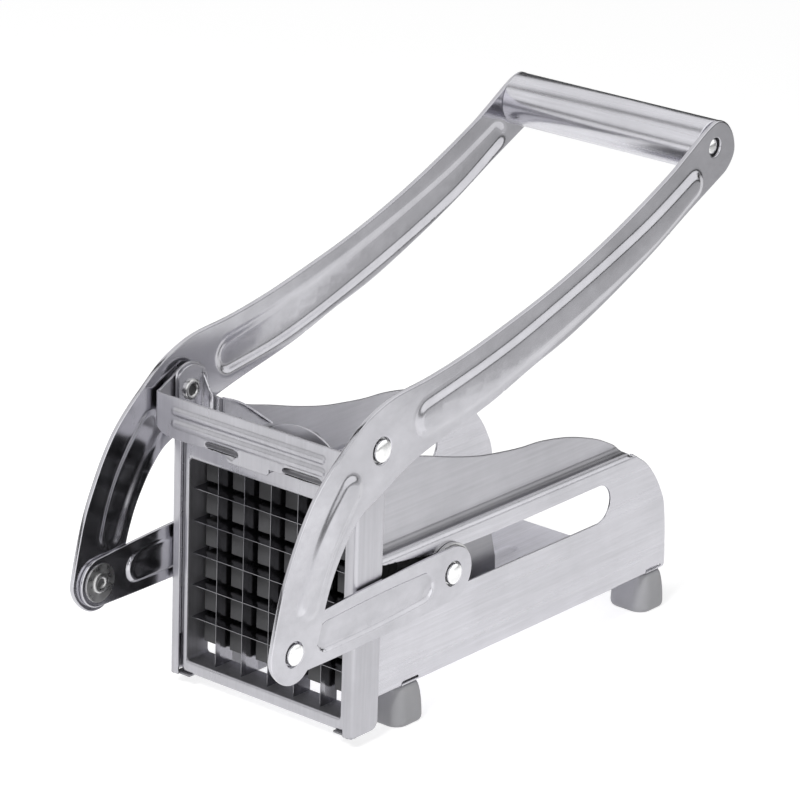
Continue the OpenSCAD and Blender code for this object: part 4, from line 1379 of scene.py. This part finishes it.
def card_sector(name, compass, inner, outer, level):
    """Card bent round the set: inner and outer are (radius, height) of its two edges."""
    points = []
    start, end = (math.radians(c) for c in compass)
    for k in range(CARD_STEPS + 1):
        angle = start + (end - start) * k / CARD_STEPS
        points += [(r * math.cos(angle), r * math.sin(angle), z) for r, z in (inner, outer)]
    faces = [(2 * k, 2 * k + 2, 2 * k + 3, 2 * k + 1) for k in range(CARD_STEPS)]
    grey_card(name, mesh_from(name, points, faces), level)


def wall_card(name, compass, low, high, level):
    card_sector(name, compass, (WALL_R, low), (WALL_R, high), level)


def floor_card(name, compass, near, far, level, z=CARD_Z):
    card_sector(name, compass, (near, z), (far, z), level)


def studio_cards():
    # Low in front: the dark line where the room meets the floor
    wall_card("card_front", (150, 300), 0.03, 0.3, level=0.12)
    # Bright wall to the right and a darker floor before it: bright ridges between dark lines on the arms
    wall_card("card_right_front", (-60, 6), 0, 2.6, level=1.7)
    wall_card("card_right", (6, 60), 0, 2.6, level=1.3)
    floor_card("card_right_floor_close", (30, 75), 0.32, 0.5, level=0.72)
    floor_card("card_right_floor_near", (-20, 75), 0.5, 0.8, level=0.62)
    floor_card("card_right_floor", (-20, 75), 0.8, 1.79, level=0.1)
    # Behind, to the left: the dark band on the body's shoulder
    wall_card("card_rear", (62, 122), 0.03, 1.4, level=0.03)
    wall_card("card_rear_left", (122, 150), 0.03, 0.85, level=0.03)
    # Bright floor in front, to the right: the bright bends of the guide channels
    floor_card("card_front_floor", (-70, -15), 0.14, 1.2, level=1.5)
    floor_card("card_side_floor", (-15, 24), 0.14, 0.5, level=1.3, z=CARD_Z + 0.2 * MM)
    # Overhead strip: the dark line along the upper side of the handle
    (x0, x1), (y0, y1) = STRIP_X, STRIP_Y
    corners = [(x0, y0, STRIP_Z), (x1, y0, STRIP_Z), (x1, y1, STRIP_Z), (x0, y1, STRIP_Z)]
    grey_card("card_strip", mesh_from("card_strip", corners, [(0, 1, 2, 3)]), level=0.02)


# Camera of the photograph: direction, roll, distance and aim, found from the object's own corners

AZIMUTH = 0.682569677
ELEVATION = 0.347668494
ROLL = 0.0339815467
DISTANCE = 1.33675547
AIM_ACROSS = -8.06160765 * MM
AIM_UP = 22.6426739 * MM
AIM_POINT = Vector((0, 7.1414 * MM, 64 * MM))
SENSOR = 36
FOCAL_SHARE = 4018.02473 / 800


def studio_camera():
    flat = math.cos(ELEVATION)
    back = Vector((math.sin(AZIMUTH) * flat, -math.cos(AZIMUTH) * flat, math.sin(ELEVATION)))
    level = Vector((math.cos(AZIMUTH), math.sin(AZIMUTH), 0))
    upright = back.cross(level)
    right = math.cos(ROLL) * level + math.sin(ROLL) * upright
    up = -math.sin(ROLL) * level + math.cos(ROLL) * upright
    data = bpy.data.cameras.new("camera")
    data.sensor_width = SENSOR
    data.lens = SENSOR * FOCAL_SHARE
    made = bpy.data.objects.new("camera", data)
    eye = AIM_POINT + level * AIM_ACROSS + upright * AIM_UP + back * DISTANCE
    made.matrix_world = Matrix.Translation(eye) @ Matrix((right, up, back)).transposed().to_4x4()
    bpy.context.scene.collection.objects.link(made)
    bpy.context.scene.camera = made


studio_world()
studio_floor()
studio_lamp()
studio_cards()
studio_camera()
bpy.context.scene.view_settings.view_transform = "Standard"
